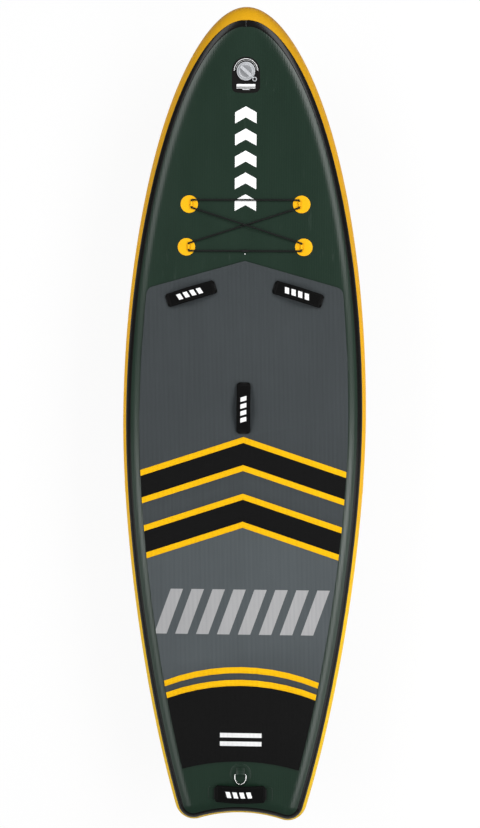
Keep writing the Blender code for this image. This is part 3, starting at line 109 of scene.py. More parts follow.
# %% [markdown]
# ## The hull's shape as a formula
#
# The chamber's rail is a half circle carried round the outline, so the whole hull follows from two
# things: the outline and how far the nose is lifted. The solids use the same formulas with few
# steps. Here they are sampled finely, so that the gloss of the coated cloth runs smoothly.

# %% Outline and rocker
LENGTH, WIDTH, THICKNESS = 2.896, 0.876, 0.150
HALF = THICKNESS / 2
FLAT_UP_TO, NOSE_RISE = 0.560, 0.110


def rocker(y):
    """How far the hull is lifted at a place along its length."""
    return NOSE_RISE * (max(0.0, y - FLAT_UP_TO) / (LENGTH / 2 - FLAT_UP_TO)) ** 2.2


def deck(y):
    """Height of the flat deck."""
    return THICKNESS + rocker(y)


def widest_line(t):
    """The right side's widest line: t is 0 at the nose tip, 1 amidships and 2 at the tail."""
    if t <= 1:
        u = 1 - t * t
        power = 1.95 - 0.25 * u**6
        return Vector((WIDTH / 2 * sqrt(max(0.0, 1 - u**power)), LENGTH / 2 * u))
    u = t - 1
    share = 1 - 0.497 * u**1.83 + 0.12 * u**4 * (1 - u)
    return Vector((WIDTH / 2 * share, -LENGTH / 2 * u))


def outward(t, step=1e-4):
    """The outline's outward direction in plan."""
    if t < step:
        return Vector((0.0, 1.0))
    along = widest_line(t + step) - widest_line(t - step)
    return Vector((-along.y, along.x)).normalized()


print("deck at the nose tip:", round(deck(LENGTH / 2), 3), "m high")

# %% [markdown]
# ## Stations round the outline
#
# A station is one place on the outline: the inner point of the rail, its outward direction, its
# depth, and the two angles between which the seam tape lies. The sides follow the formula, each
# tail corner is an arc, and the tail's edge is a hollow arc between the corners. Only the right
# half is worked out, and the left half mirrors it, so the board can't come out lopsided.

# %% Stations
SIDE_STEPS, AFT_STEPS, CORNER_STEPS, TAIL_STEPS = 64, 36, 16, 14
RAIL_DEPTH = 0.070
TAIL_REACH = 0.500 + RAIL_DEPTH
TAPE_ANGLE = 20.0


def half_outline():
    """Points of the widest line with their outward directions, from the nose to mid tail."""
    low, high = 1.0, 2.0
    for _ in range(50):
        t = (low + high) / 2
        ahead = (widest_line(t) - outward(t) * RAIL_DEPTH).y > RAIL_DEPTH - LENGTH / 2
        low, high = (t, high) if ahead else (low, t)
    ts = [k / SIDE_STEPS for k in range(SIDE_STEPS)]
    ts += [1 + (low - 1) * k / AFT_STEPS for k in range(AFT_STEPS + 1)]
    places = [(widest_line(t), outward(t)) for t in ts]
    edge, last = places[-1]
    corner = edge - last * RAIL_DEPTH
    centre = Vector((0.0, corner.y - sqrt(TAIL_REACH**2 - corner.x**2)))
    start, end = atan2(last.y, last.x), atan2(centre.y - corner.y, centre.x - corner.x)
    for k in range(1, CORNER_STEPS + 1):
        angle = start + (end - start) * k / CORNER_STEPS
        normal = Vector((cos(angle), sin(angle)))
        places.append((corner + normal * RAIL_DEPTH, normal))
    for k in range(1, TAIL_STEPS + 1):
        x = corner.x * (1 - k / TAIL_STEPS)
        point = Vector((x, centre.y + sqrt(TAIL_REACH**2 - x * x)))
        normal = (centre - point).normalized()
        places.append((point + normal * RAIL_DEPTH, normal))
    return places


outline = half_outline()
right_half, travelled, before = [], 0.0, outline[0][0]
for edge, normal in outline:
    travelled += (edge - before).length
    before = edge
    depth = RAIL_DEPTH + 0.027 * max(0.0, 1 - travelled / 1.300) ** 2
    seam = 38.2 + 6.0 / (1 + travelled**6) + 23.0 / (1 + (travelled / 0.160) ** 2)
    right_half.append((edge - normal * depth, normal, depth,
                       (seam, seam + TAPE_ANGLE * RAIL_DEPTH / depth)))
stations = right_half + [(Vector((-p.x, p.y)), Vector((-n.x, n.y)), depth, span)
                         for p, n, depth, span in right_half[-2:0:-1]]
print("stations round the hull:", len(stations))


def rail_point(station, angle, offset):
    """A point of the rail's round section, that far outside the skins' outer surface."""
    inner, normal, depth, _ = station
    flat = inner
    if abs(angle) < 90:
        flat = inner + normal * (depth + offset) * cos(radians(angle))
    return Vector((flat.x, flat.y, HALF + rocker(flat.y) + (HALF + offset) * sin(radians(angle))))


# %% [markdown]
# ## The bungee's route
#
# The elastic cord is one length, laced through four welded patches and joined by a sleeve at the
# middle of the rear run. It is held at every patch, so its route is fixed, and it repeats the
# points of the solid cord. The two runs cross, and the upper one humps over the lower.

# %% Points of the cord
GAP, PATCH = 0.0003, 0.0012
CORD_RADIUS = 0.003
BRIDGE_INSET = 0.008
FRONT_PATCH = (0.1998, 0.7578)
REAR_PATCH = (0.2088, 0.6061)


def mirrored(points):
    return [(-x, y, z) for x, y, z in points]


def bungee_route():
    """Points of the cord's middle line, from inside the sleeve once round and back to it."""
    low = GAP + PATCH + GAP + CORD_RADIUS
    hump = 2 * CORD_RADIUS + 2 * GAP
    fx, fy = FRONT_PATCH[0] - BRIDGE_INSET, FRONT_PATCH[1]
    rx, ry = REAR_PATCH[0] - BRIDGE_INSET, REAR_PATCH[1]
    to_run = ((0.0060, 0.0145), (0.0030, 0.0137), (0.0008, 0.0115), (0.0, 0.0085))
    to_cross = ((0.0, 0.0085), (0.0005, 0.0109), (0.0020, 0.0130), (0.0041, 0.0142))
    rear = [(-rx + dx, ry - dy, low) for dx, dy in to_run]
    rear += [(-rx + dx, ry + dy, low) for dx, dy in to_cross]
    front = [(-fx + dx, fy - dy, low) for dx, dy in to_cross[::-1]]
    front += [(-fx + dx, fy + dy, low) for dx, dy in to_run[::-1]]
    leave_x, leave_y = to_cross[-1]
    run = to_run[0][1]
    slope = (fy - ry - 2 * leave_y) / (fx + rx - 2 * leave_x)

    def diagonal(x):
        return ry + leave_y + slope * (x + rx - leave_x)

    route = [(-0.0008, ry - run, low), (-0.100, ry - run, low)] + rear
    route += [(x, diagonal(x), low) for x in (-0.100, 0.0, 0.100)] + mirrored(front)
    route += [(x, fy + run, low) for x in (0.100, 0.0, -0.100)] + front[::-1]
    over = ((-0.100, 0.45), (-0.040, 0.84), (-0.012, 1.0), (0.012, 1.0), (0.040, 0.84),
            (0.100, 0.45))
    route += [(x, diagonal(-x), low + hump * share) for x, share in over] + mirrored(rear[::-1])
    route += [(0.100, ry - run, low), (0.0008, ry - run, low)]
    return [Vector((x, y, deck(y) + z)) for x, y, z in route]


cord_points = bungee_route()
cord_length = sum((b - a).length for a, b in zip(cord_points, cord_points[1:]))
print("bungee cord:", round(cord_length, 3), "m in", len(cord_points), "points")

# %% [markdown]
# ## Tools for shapes
#
# Most pieces here are sheets and sleeves that follow a surface. They start as a flat grid, and each
# corner of the grid is moved to its place, so one operator gives the faces and the UV map at once.
# Turned pieces are spun from a profile, and plates start as a block. Where a weave reads the UV
# map, the map is in metres, so that the weave has its true scale.

# %% Sections, grids and blocks
def arc(radius, start, end, steps):
    """Points of an arc between two angles in degrees, both ends included."""
    angles = (radians(start + (end - start) * k / steps) for k in range(steps + 1))
    return [(radius * cos(angle), radius * sin(angle)) for angle in angles]


def band_section(width, thickness):
    """A flat band's section with rounded edges."""
    radius = thickness / 2
    return [(side * (width / 2 - radius + x), side * y) for side in (1, -1)
            for x, y in arc(radius, -90, 90, 4)]


def mapped_grid(across, along, place, chart=None, closed=True):
    """A grid with each corner moved to place(u, v), for u and v from 0 to 1. A chart gives its UV
    map, and its open ends are closed."""
    bm = bmesh.new()
    uv = bm.loops.layers.uv.new("UVMap")
    bmesh.ops.create_grid(bm, x_segments=across, y_segments=along, size=0.5)
    for loop in (loop for face in bm.faces for loop in face.loops):
        u, v = loop.vert.co.x + 0.5, loop.vert.co.y + 0.5
        loop[uv].uv = chart(u, v) if chart else (u, v)
    for vert in bm.verts:
        vert.co = place(vert.co.x + 0.5, vert.co.y + 0.5)
    bmesh.ops.remove_doubles(bm, verts=bm.verts, dist=1e-6)
    bmesh.ops.dissolve_degenerate(bm, dist=1e-6, edges=bm.edges)
    if closed:
        bmesh.ops.holes_fill(bm, edges=[e for e in bm.edges if e.is_boundary], sides=0)
    return bm


def spun(profile, steps=72):
    """A turned piece: (radius, height) points round Z. An open profile ends on the axis."""
    bm = bmesh.new()
    verts = [bm.verts.new((radius, 0.0, height)) for radius, height in profile]
    pairs = list(zip(verts, verts[1:]))
    if profile[0][0] > 0 or profile[-1][0] > 0:
        pairs.append((verts[-1], verts[0]))
    edges = [bm.edges.new(pair) for pair in pairs]
    bmesh.ops.spin(bm, geom=verts + edges, axis=(0, 0, 1), cent=(0, 0, 0), angle=2 * pi,
                   steps=steps, use_merge=True)
    bmesh.ops.remove_doubles(bm, verts=bm.verts, dist=1e-6)
    return bm


def slab(width, length, low, high, corner=0.0):
    """A flat block with rounded upright corners, centred on Z."""
    bm = bmesh.new()
    bmesh.ops.create_cube(bm, size=1.0)
    bmesh.ops.scale(bm, vec=(width, length, high - low), verts=bm.verts)
    moved(bm, at(z=(low + high) / 2))
    if corner:
        upright = [e for e in bm.edges if abs(e.verts[0].co.z - e.verts[1].co.z) > 1e-6]
        bmesh.ops.bevel(bm, geom=upright, offset=corner, segments=6, profile=0.5,
                        affect="EDGES", material=-1)
    return bm


# %% [markdown]
# ## Tools for cords, edges and joins
#
# Cords, straps and wires are a section carried along a path. Two directions are passed on from
# point to point, so that the section never twists. Sharp edges catch no light, so they get a bevel,
# chosen by their angle. Parts that are moulded as one are joined in one mesh.

# %% Sweeping, rounding, moving and joining
def smooth_path(points, steps):
    """A finer path through the same points."""
    fine, last = [], len(points) - 1
    for k in range(last):
        a, b, c, d = (points[min(max(i, 0), last)] for i in range(k - 1, k + 3))
        for t in (step / steps for step in range(steps)):
            fine.append(0.5 * (2 * b + (c - a) * t + (2 * a - 5 * b + 4 * c - d) * t**2
                               + (3 * b - a - 3 * c + d) * t**3))
    return fine + [points[-1]]


def swept(points, section, across=None, closed=False):
    """A section of (sideways, upward) points carried along a path."""
    count, around = len(points), len(section)
    side, frames = across, []
    for i, point in enumerate(points):
        before = points[i - 1] if i or closed else point
        after = points[(i + 1) % count] if i < count - 1 or closed else point
        along = (after - before).normalized()
        if side is None:
            side = along.orthogonal()
        side = (side - along * side.dot(along)).normalized()
        frames.append((point, side, along.cross(side)))
    length = sum((b - a).length for a, b in zip(points, points[1:]))
    girth = sum(dist(section[k], section[k - 1]) for k in range(around))
    rows = count if closed else count - 1

    def place(u, v):
        point, sideways, upward = frames[round(v * rows) % count]
        a, b = section[round(u * around) % around]
        return point + sideways * a + upward * b

    return mapped_grid(around, rows, place, lambda u, v: ((u - 0.5) * girth, (v - 0.5) * length))


def rounded(bm, radius, steps=2, sharper_than=30, chosen=lambda edge: True):
    """Round the sharp edges of a shape that the chosen test lets through."""
    edges = [e for e in bm.edges if len(e.link_faces) == 2
             and e.calc_face_angle(0.0) > radians(sharper_than) and chosen(e)]
    bmesh.ops.bevel(bm, geom=edges, offset=radius, segments=steps, profile=0.5, affect="EDGES",
                    clamp_overlap=True, material=-1)
    return bm


def at(x=0.0, y=0.0, z=0.0):
    return Matrix.Translation((x, y, z))


def turned(angle, axis):
    return Matrix.Rotation(radians(angle), 4, axis)


def moved(bm, matrix):
    """The same shape in another place."""
    bmesh.ops.transform(bm, matrix=matrix, verts=bm.verts)
    return bm


def mesh_of(name, bm):
    """A mesh of a shape, its faces pointing outwards."""
    bmesh.ops.recalc_face_normals(bm, faces=bm.faces)
    mesh = bpy.data.meshes.new(name)
    bm.to_mesh(mesh)
    bm.free()
    return mesh


def joined(*shapes):
    """Several shapes in one."""
    whole = bmesh.new()
    whole.loops.layers.uv.new("UVMap")
    for bm in shapes:
        mesh = mesh_of("part", bm)
        whole.from_mesh(mesh)
        bpy.data.meshes.remove(mesh)
    return whole


# %% [markdown]
# ## Adding a piece
#
# A piece rides on one of the board's moving bodies and says which solid it stands for. Its faces
# are smooth, and edges above a set angle stay sharp, so that a bevel of a few faces already looks
# round.

# %% Pieces, copies and cuts
finishes = {}                           # filled below, by name


def add_piece(name, bm, finish, slot=None, node=None, body="hull", smooth=38):
    """Turn a shape into a piece of the board, riding on its body in place of a solid."""
    mesh = mesh_of(name, bm)
    mesh.shade_smooth()
    mesh.set_sharp_from_angle(angle=radians(smooth))
    mesh.materials.append(finishes[finish])
    piece = put(name, mesh)
    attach(piece, body)
    if node:
        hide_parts(node)
    print(f"{name}: {len(mesh.polygons)} faces")
    return piece


def merged_copy(node):
    """A solid's mesh with its loose triangles joined and its flat faces made whole again."""
    bm = bmesh.new()
    bm.from_mesh(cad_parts[node].data)
    bmesh.ops.remove_doubles(bm, verts=bm.verts, dist=1e-5)
    bmesh.ops.dissolve_limit(bm, angle_limit=radians(0.6), verts=bm.verts, edges=bm.edges)
    return bm


def cut(piece, bm):
    """Cut a shape out of a piece for good."""
    tool = put("cutter", mesh_of("cutter", bm))
    modifier = piece.modifiers.new("cut", "BOOLEAN")
    modifier.operation, modifier.solver, modifier.object = "DIFFERENCE", "EXACT", tool
    shown = piece.evaluated_get(bpy.context.evaluated_depsgraph_get())
    done = bpy.data.meshes.new_from_object(shown)
    piece.modifiers.clear()
    old, piece.data = piece.data, done
    bpy.data.meshes.remove(old)
    bpy.data.objects.remove(tool)


# %% [markdown]
# ## Tools for finishes
#
# A finish is a tree of shader nodes. Written node by node it is hard to read, so a value that
# changes over the surface is wrapped in a small class with the usual operators, and `1 - mask`
# adds the Math node by itself. What is the same everywhere is set on the shader's own sockets.

# %% Values that change over a surface
def operator(kind, swapped=False):
    """A method of Value that adds one Math node."""
    def apply(value, other=0.0):
        pair = (other, value) if swapped else (value, other)
        return value.finish.node("ShaderNodeMath", {"operation": kind}, dict(enumerate(pair)))
    return apply


class Value:
    """A number that changes over a surface. Arithmetic on it adds Math nodes."""

    def __init__(self, finish, socket):
        self.finish, self.socket = finish, socket

    __add__ = operator("ADD")
    __sub__ = operator("SUBTRACT")
    __rsub__ = operator("SUBTRACT", swapped=True)
    __mul__ = operator("MULTIPLY")
    __mod__ = operator("FLOORED_MODULO")
    __abs__ = operator("ABSOLUTE")
    __lt__ = operator("LESS_THAN")
    __gt__ = operator("GREATER_THAN")
    most = operator("MAXIMUM")
    sine = operator("SINE")

    def wave(self, pitch):
        """A sine from 0 to 1 that repeats at each pitch."""
        return (self * (2 * pi / pitch)).sine() * 0.5 + 0.5

    def rise(self, low, high):
        """0 up to the low value, 1 from the high one, smooth between them."""
        return self.finish.node("ShaderNodeMapRange", {"interpolation_type": "SMOOTHSTEP"},
                                {"Value": self, "From Min": low, "From Max": high})


# %% Nodes and finishes
class Nodes:
    """The node tree of a material or of the world."""

    def __init__(self, tree):
        self.tree = tree

    def node(self, kind, settings=None, inputs=None, output=0):
        """Add a node: its settings first, then values or links for its sockets."""
        made = self.tree.nodes.new(kind)
        for setting, value in (settings or {}).items():
            setattr(made, setting, value)
        self.plug(made, inputs or {})
        return Value(self, made.outputs[output])

    def plug(self, node, inputs):
        for socket, value in inputs.items():
            if isinstance(value, Value):
                self.tree.links.new(value.socket, node.inputs[socket])
            else:
                node.inputs[socket].default_value = value


class Finish(Nodes):
    """A material under construction. Its noises read the object's own coordinates."""

    def __init__(self, name):
        self.material = finishes[name] = bpy.data.materials.new(name)
        self.material.use_nodes = True
        super().__init__(self.material.node_tree)
        self.place = self.node("ShaderNodeTexCoord", output="Object")

    def surface(self, **inputs):
        """Set the shader's sockets: their names with _ for each space."""
        self.plug(self.tree.nodes["Principled BSDF"],
                  {name.replace("_", " "): value for name, value in inputs.items()})

    def axes(self, vector):
        """The three numbers of a vector."""
        split = self.tree.nodes.new("ShaderNodeSeparateXYZ")
        self.plug(split, {0: vector})
        return [Value(self, socket) for socket in split.outputs]

    def unwrapped(self):
        """The two numbers of the UV map."""
        return self.axes(self.node("ShaderNodeTexCoord", output="UV"))[:2]

    def noise(self, scale, detail=3.0, roughness=0.5, along=1.0, up=1.0):
        """Noise over the place. It is drawn out along the board, or up, by values below 1."""
        vector = self.place
        if along < 1.0:
            vector = self.node("ShaderNodeMapping", {},
                               {"Vector": vector, "Scale": (1.0, along, up)})
        return self.node("ShaderNodeTexNoise", {}, {"Vector": vector, "Scale": scale,
                                                    "Detail": detail, "Roughness": roughness})

    def mix(self, share, first, second, blend="MIX"):
        """The first colour where the share is 0 and the second, or both blended, where it is 1."""
        return self.node("ShaderNodeMix", {"data_type": "RGBA", "blend_type": blend},
                         {0: share, 6: first, 7: second}, 2)

    def bump(self, height, distance, strength=1.0):
        return self.node("ShaderNodeBump", {},
                         {"Height": height, "Distance": distance, "Strength": strength})


def shade(colour, factor):
    """A colour made lighter or darker, with its alpha."""
    return (*(min(1.0, part * factor) for part in colour[:3]), 1.0)


def grey(level):
    return (level, level, level, 1.0)


# %% [markdown]
# ## Coated cloth
#
# The chamber's skins are woven polyester with a PVC coating. The coating is satin and a little
# uneven. Inside, thousands of threads tie deck to bottom in rows, and these rows show through as
# faint lines along the board. The finish has the lines, a fine embossed grain, slow drifts in
# gloss, and sparse rubs where sand has dulled it. The yellow rail's colour has painted light and
# shade: it is painted lighter towards the tail, darker towards the nose, and darker still on the
# nose's rim, where the strip faces sideways.

# %% The coated cloths
GREEN = (0.0080, 0.0222, 0.0130)
BLACK = (0.0036, 0.0030, 0.0028)
THREAD_PITCH = 0.0085


def rail_painted_light_and_shade(finish, colour):
    """The rail's colour with painted light and shade: lighter towards the tail, darker towards the
    nose and on its rim.
    """
    along = finish.axes(finish.place)[1]
    facing_up = finish.axes(finish.node("ShaderNodeNewGeometry", output="Normal"))[2]
    # Painted shade: near the nose, where the strip faces sideways, its colour is made darker.
    rim = along.rise(1.20, 1.45) * (1 - abs(facing_up).rise(0.25, 0.95))
    # Painted light towards the tail and painted shade towards the nose, along the board.
    for share, tint in (((0 - along).rise(-0.2, 1.0), (1.05, 1.26, 2.0, 1.0)),
                        (along.rise(0.3, 1.2), (0.85, 0.84, 4.0, 1.0)),
                        (rim, (0.60, 0.54, 1.6, 1.0))):
        colour = finish.mix(share, colour, tint, "MULTIPLY")
    return colour


def coated_cloth(name, colour, roughness, specular, threads=0.0, wear_and_painted_light=None):
    """Satin PVC on cloth, with lengthwise thread rows where asked for."""
    finish = Finish(name)
    drift = finish.noise(7.0, along=0.35)
    grain = finish.noise(1400.0, 2.0)
    cloth = finish.noise(260.0, 2.0)
    streak = finish.noise(60.0, 2.0, along=0.02)
    rubs = finish.noise(38.0, 6.0, 0.65, along=0.22).rise(0.60, 0.74)
    rows = finish.axes(finish.place)[0].wave(THREAD_PITCH)
    light = drift * 0.5 + streak * 0.3 + rows * (0.35 * threads)
    coat = finish.mix(light, shade(colour, 0.80), shade(colour, 1.28))
    coat = finish.mix(rubs * 0.16, coat, shade(colour, 2.1))
    height = grain * 0.10 + cloth * 0.22 + rows * threads * 0.8 + drift * 0.6
    finish.surface(
        Base_Color=wear_and_painted_light(finish, coat) if wear_and_painted_light else coat,
        Roughness=drift * 0.10 + grain * 0.05 + rubs * 0.16 + (roughness - 0.07),
        Specular_IOR_Level=specular,
        Normal=finish.bump(height, 0.00035, 0.8),
    )


coated_cloth("deck_cloth", GREEN, 0.30, 0.40, threads=0.38)
coated_cloth("bottom_cloth", GREEN, 0.42, 0.42, threads=0.35)
coated_cloth("patch_green", shade(GREEN, 0.92), 0.32, 0.36)
# The rail's colour carries painted light and shade: lighter at the tail, darker at the nose and on
# its rim.
coated_cloth("rail_yellow", (0.74, 0.380, 0.002), 0.46, 0.07, wear_and_painted_light=rail_painted_light_and_shade)
coated_cloth("patch_yellow", (0.98, 0.445, 0.001), 0.50, 0.20)
coated_cloth("tape_black", BLACK, 0.27, 0.22)
coated_cloth("patch_black", BLACK, 0.40, 0.22)
# Pale grey for the glue line at the nose lap: a painted highlight on the lap's edge.
coated_cloth("glue_line_painted_highlight", (0.16, 0.17, 0.17), 0.40, 0.30)
print("with the coated cloths:", len(finishes), "finishes")

# %% [markdown]
# ## Foam sheet
#
# The pad is EVA foam, cut from sheets and laid like a mosaic. Its top is milled with fine grooves
# along the board, so that feet grip and water runs off. Between the grooves the foam is slightly
# fuzzy and almost without gloss. Light marks on two of the sheets are plain bars. Masks that
# compare x and y with numbers draw them, so their edges stay sharp at any distance.

# %% The foams
GREY_FOAM = (0.0500, 0.0574, 0.0611)
GROOVE_PITCH = 0.0046


def foam(name, colour, marks=None, mark_colour=None):
    """Grooved EVA. The marks take x and y as values and give where the mark colour lies."""
    finish = Finish(name)
    x, y, _ = finish.axes(finish.place)
    sway = finish.noise(30.0, 2.0, along=0.15)
    groove = (x + sway * 0.0006).wave(GROOVE_PITCH).rise(0.0, 0.55)
    fuzz = finish.noise(1800.0, 3.0, 0.7)
    streak = finish.noise(210.0, 2.0, along=0.012)
    light = streak * 0.45 + finish.noise(5.0, 4.0) * 0.45 + fuzz * 0.10
    sheet = finish.mix(light, shade(colour, 0.78), shade(colour, 1.22))
    if marks:
        tone = finish.mix(light, shade(mark_colour, 0.80), shade(mark_colour, 1.15))
        sheet = finish.mix(marks(x, y), sheet, tone)
    finish.surface(
        # Painted shade: the colour is darkened along the bottoms of the grooves.
        Base_Color=finish.mix(groove, finish.mix(0.72, grey(0.0), sheet), sheet),
        Roughness=fuzz * 0.16 + 0.72,
        Specular_IOR_Level=0.10,
        Sheen_Weight=0.02,
        Sheen_Roughness=0.6,
        Normal=finish.bump(groove * 0.8 + fuzz * 0.16 + streak * 0.1, 0.00040, 0.9),
    )


def slanted_bars(x, y, middle=-0.6915, half_width=0.2827, pitch=0.0745, bar=0.0440):
    """Wide bars across the grey rear sheet, leaning forward to the right."""
    lean = x - (y - middle) * 0.36
    inside = (abs(y - middle) < 0.0800) * (abs(lean) < half_width)
    return inside * (((lean + half_width) % pitch) < bar)


def tail_bars(x, y):
    """Two thin lines across the tail piece."""
    upper, lower = (abs(y - middle) < 0.0080 for middle in (-1.1300, -1.1600))
    return upper.most(lower) * (abs(x) < 0.0740)


foam("foam_grey", GREY_FOAM)
foam("foam_grey_marked", shade(GREY_FOAM, 1.55), slanted_bars, (0.38, 0.38, 0.385))
foam("foam_black", grey(0.0034))
foam("foam_tail", grey(0.0034), tail_bars, grey(0.86))
foam("foam_yellow", (0.98, 0.480, 0.002))
print("with the foams:", len(finishes), "finishes")

# %% [markdown]
# ## Woven and knitted finishes
#
# Webbing, the cord's braid and the neoprene's jersey are all threads, so they read the UV map,
# which is in metres: two crossed waves make a weave, and leaning them over makes a braid. The
# grips' binding, seams and printed bars are masks in the same map.

# %% Webbing, braid, neoprene, thread
def webbing(name, colour, pitch=0.0016):
    """A plain woven band."""
    finish = Finish(name)
    u, v = finish.unwrapped()
    warp, weft = u.wave(pitch), v.wave(pitch * 1.3)
    weave = warp * weft + (1 - warp) * (1 - weft)
    fuzz = finish.noise(2200.0)
    finish.surface(
        Base_Color=finish.mix(weave * 0.6 + fuzz * 0.4, shade(colour, 0.55), shade(colour, 1.7)),
        Roughness=0.86 - fuzz * 0.12,
        Specular_IOR_Level=0.25,
        Normal=finish.bump(weave + fuzz * 0.3, 0.00030, 0.9),
    )


def braid(name, colour, radius, strands_round=12, pitch=0.0024):
    """A braided sheath: two sets of strands wound in opposite directions."""
    finish = Finish(name)
    u, v = finish.unwrapped()
    lean = strands_round * pitch / (2 * pi * radius)
    strands = (u * lean + v).wave(pitch).most((u * -lean + v).wave(pitch))
    fuzz = finish.noise(2500.0, 2.0)
    finish.surface(
        Base_Color=finish.mix(strands * 0.7 + fuzz * 0.3, shade(colour, 0.45), shade(colour, 1.6)),
        Roughness=0.80 - fuzz * 0.10,
        Specular_IOR_Level=0.25,
        Normal=finish.bump(strands, 0.00035, 0.9),
    )


def neoprene(name, seam_place, half_length):
    """Jersey over foam, bound at its ends, sewn along its edges, with plain bars printed on it."""
    finish = Finish(name)
    u, v = finish.unwrapped()
    knit = (u + v * 0.5).wave(0.0011) * (v - u * 0.5).wave(0.0013)
    fuzz = finish.noise(1500.0, 3.0, 0.7)
    lean = v - u * 0.30
    bars = (abs(u) < 0.0105) * (abs(lean) < 0.0490) * (((lean + 0.0490) % 0.0245) < 0.0155)
    edge = abs(v).rise(half_length - 0.0085, half_length - 0.0078)
    seam = (1 - abs(abs(u) - seam_place).rise(0.0004, 0.0009)) * (1 - edge)
    dashes = (v % 0.0036 > 0.0010) * seam
    cover = finish.mix(finish.noise(34.0) * 0.5 + knit * 0.5, grey(0.00154), grey(0.0033))
    for share, colour in ((edge, grey(0.00286)), (dashes, grey(0.0066)), (bars, grey(0.88))):
        cover = finish.mix(share, cover, colour)
    height = knit * 0.25 + fuzz * 0.15 - seam * 0.7 + dashes * 0.9 + bars * 0.25
    finish.surface(
        Base_Color=cover,
        Roughness=0.84 - bars * 0.25 - edge * 0.12,
        Specular_IOR_Level=0.09,
        Normal=finish.bump(height, 0.00045, 0.9),
    )


webbing("webbing_black", grey(0.0040))
braid("braid_black", (0.0040, 0.0050, 0.0042), CORD_RADIUS)
neoprene("neoprene_black", 0.0195, 0.0860)
neoprene("neoprene_tail", 0.0250, 0.0880)
webbing("thread_black", grey(0.016), 0.0006)
webbing("thread_yellow", (0.60, 0.26, 0.010), 0.0006)
webbing("thread_green", (0.020, 0.040, 0.027), 0.0006)
print("with the woven finishes:", len(finishes), "finishes")

# %% [markdown]
# ## Moulded, cast and printed finishes
#
# Plastics have a fine spark-eroded texture and small scratches, rubber is duller, and metals carry
# brushing and finger marks. White marks are a printed film with hairline wear.

# %% Plastics, rubber, metals, print
def moulded(name, colour, roughness, specular=0.5, texture=0.00012):
    """Injection-moulded plastic or rubber."""
    finish = Finish(name)
    pits, flow = finish.noise(2600.0, 2.0), finish.noise(24.0, 4.0)
    scratches = finish.noise(420.0, along=0.06, up=0.6).rise(0.62, 0.72)
    skin = finish.mix(flow, shade(colour, 0.88), shade(colour, 1.10))
    finish.surface(
        Base_Color=finish.mix(scratches * 0.20, skin, shade(colour, 1.5)),
        Roughness=flow * 0.12 + pits * 0.06 + scratches * 0.10 + (roughness - 0.09),
        Specular_IOR_Level=specular,
        Normal=finish.bump(pits + flow * 0.4, texture, 0.7),
    )


def metal(name, colour, roughness):
    """Polished or brushed metal with finger marks."""
    finish = Finish(name)
    brushed, marks = finish.noise(1600.0, 2.0, along=0.05), finish.noise(90.0, 4.0)
    finish.surface(
        Base_Color=finish.mix(marks, shade(colour, 0.86), shade(colour, 1.06)),
        Metallic=1.0,
        Roughness=marks * 0.14 + brushed * 0.08 + (roughness - 0.10),
        Normal=finish.bump(brushed, 0.00003, 0.5),
    )


def printed(name, colour):
    """A thin printed film, worn in hairlines."""
    finish = Finish(name)
    wear_and_painted_light = finish.noise(160.0, 5.0, 0.6, along=0.12).rise(0.66, 0.78)
    weave = finish.noise(900.0, 2.0)
    finish.surface(
        Base_Color=finish.mix(wear_and_painted_light * 0.35, colour, shade(colour, 0.62)),
        Roughness=weave * 0.14 + 0.46,
        Specular_IOR_Level=0.35,
        Normal=finish.bump(weave, 0.00008, 0.6),
    )


moulded("valve_grey", (0.50, 0.51, 0.53), 0.30)
moulded("seal_rubber", grey(0.010), 0.66, 0.18)
moulded("fin_plastic", (0.014, 0.014, 0.015), 0.34, 0.5, 0.00020)
moulded("core_cloth", (0.62, 0.62, 0.60), 0.80, 0.3, 0.00040)
metal("steel", (0.72, 0.72, 0.71), 0.20)
metal("brass", (0.72, 0.50, 0.18), 0.30)
moulded("valve_shade", (0.26, 0.266, 0.278), 0.50)
printed("print_white", grey(0.92))
print("with the moulded finishes:", len(finishes), "finishes")

# %% [markdown]
# ## Rail strip and seam tapes
#
# A yellow strip covers the round rail, and black tapes cover the seams where deck and bottom meet
# it. Each is a closed band: a small section, given as angles on the rail and offsets from it, that
# is carried once round the board. The tapes thin out at both edges, as welded tape does. A modifier
# along a curve would twist where the rail climbs at the nose; formulas keep every corner in place.

# %% Bands round the rail
SKIN = 0.0012
SLIT = 0.12
TAPE_PROFILE = ((0.0, 0.00032), (0.02, 0.0007), (0.05, 0.0010), (0.10, 0.0012), (0.3, 0.0012),
                (0.5, 0.0012), (0.7, 0.0012), (0.90, 0.0012), (0.95, 0.0010), (0.98, 0.0007),
                (1.0, 0.00032))


def band(section_of, first=0, last=None):
    """A section of (degrees, offset) points carried round the hull, or from station to station."""
    rows = len(stations) if last is None else last - first
    around = len(section_of(40.0, 60.0))

    def place(u, v):
        station = stations[(first + round(v * rows)) % len(stations)]
        return rail_point(station, *section_of(*station[3])[round(u * around) % around])

    return mapped_grid(around, rows, place)


def there_and_back(outside, under):
    """A section from its outer points, closed by the same angles along its inside."""
    return outside + [(angle, under) for angle, _ in reversed(outside)]


def rail_section(seam, top):
    """Over the rail between the two seams."""
    reach = (seam + top) / 2 - SLIT
    return there_and_back([(-reach + 2 * reach * k / 30, 0.0) for k in range(31)], -SKIN)


def tape_section(side):
    """Over one seam, thinner at both edges."""
    def section(seam, top):
        return there_and_back([(side * (seam + (top - seam) * share), rise)
                               for share, rise in TAPE_PROFILE], 0.00008)
    return section


add_piece("rail_band", band(rail_section), "rail_yellow", "pvc_yellow", "rail_strip")
add_piece("tape_deck", band(tape_section(1)), "tape_black", "pvc_black", "deck_seam_tape")
add_piece("tape_bottom", band(tape_section(-1)), "tape_black", "pvc_black", "bottom_seam_tape")

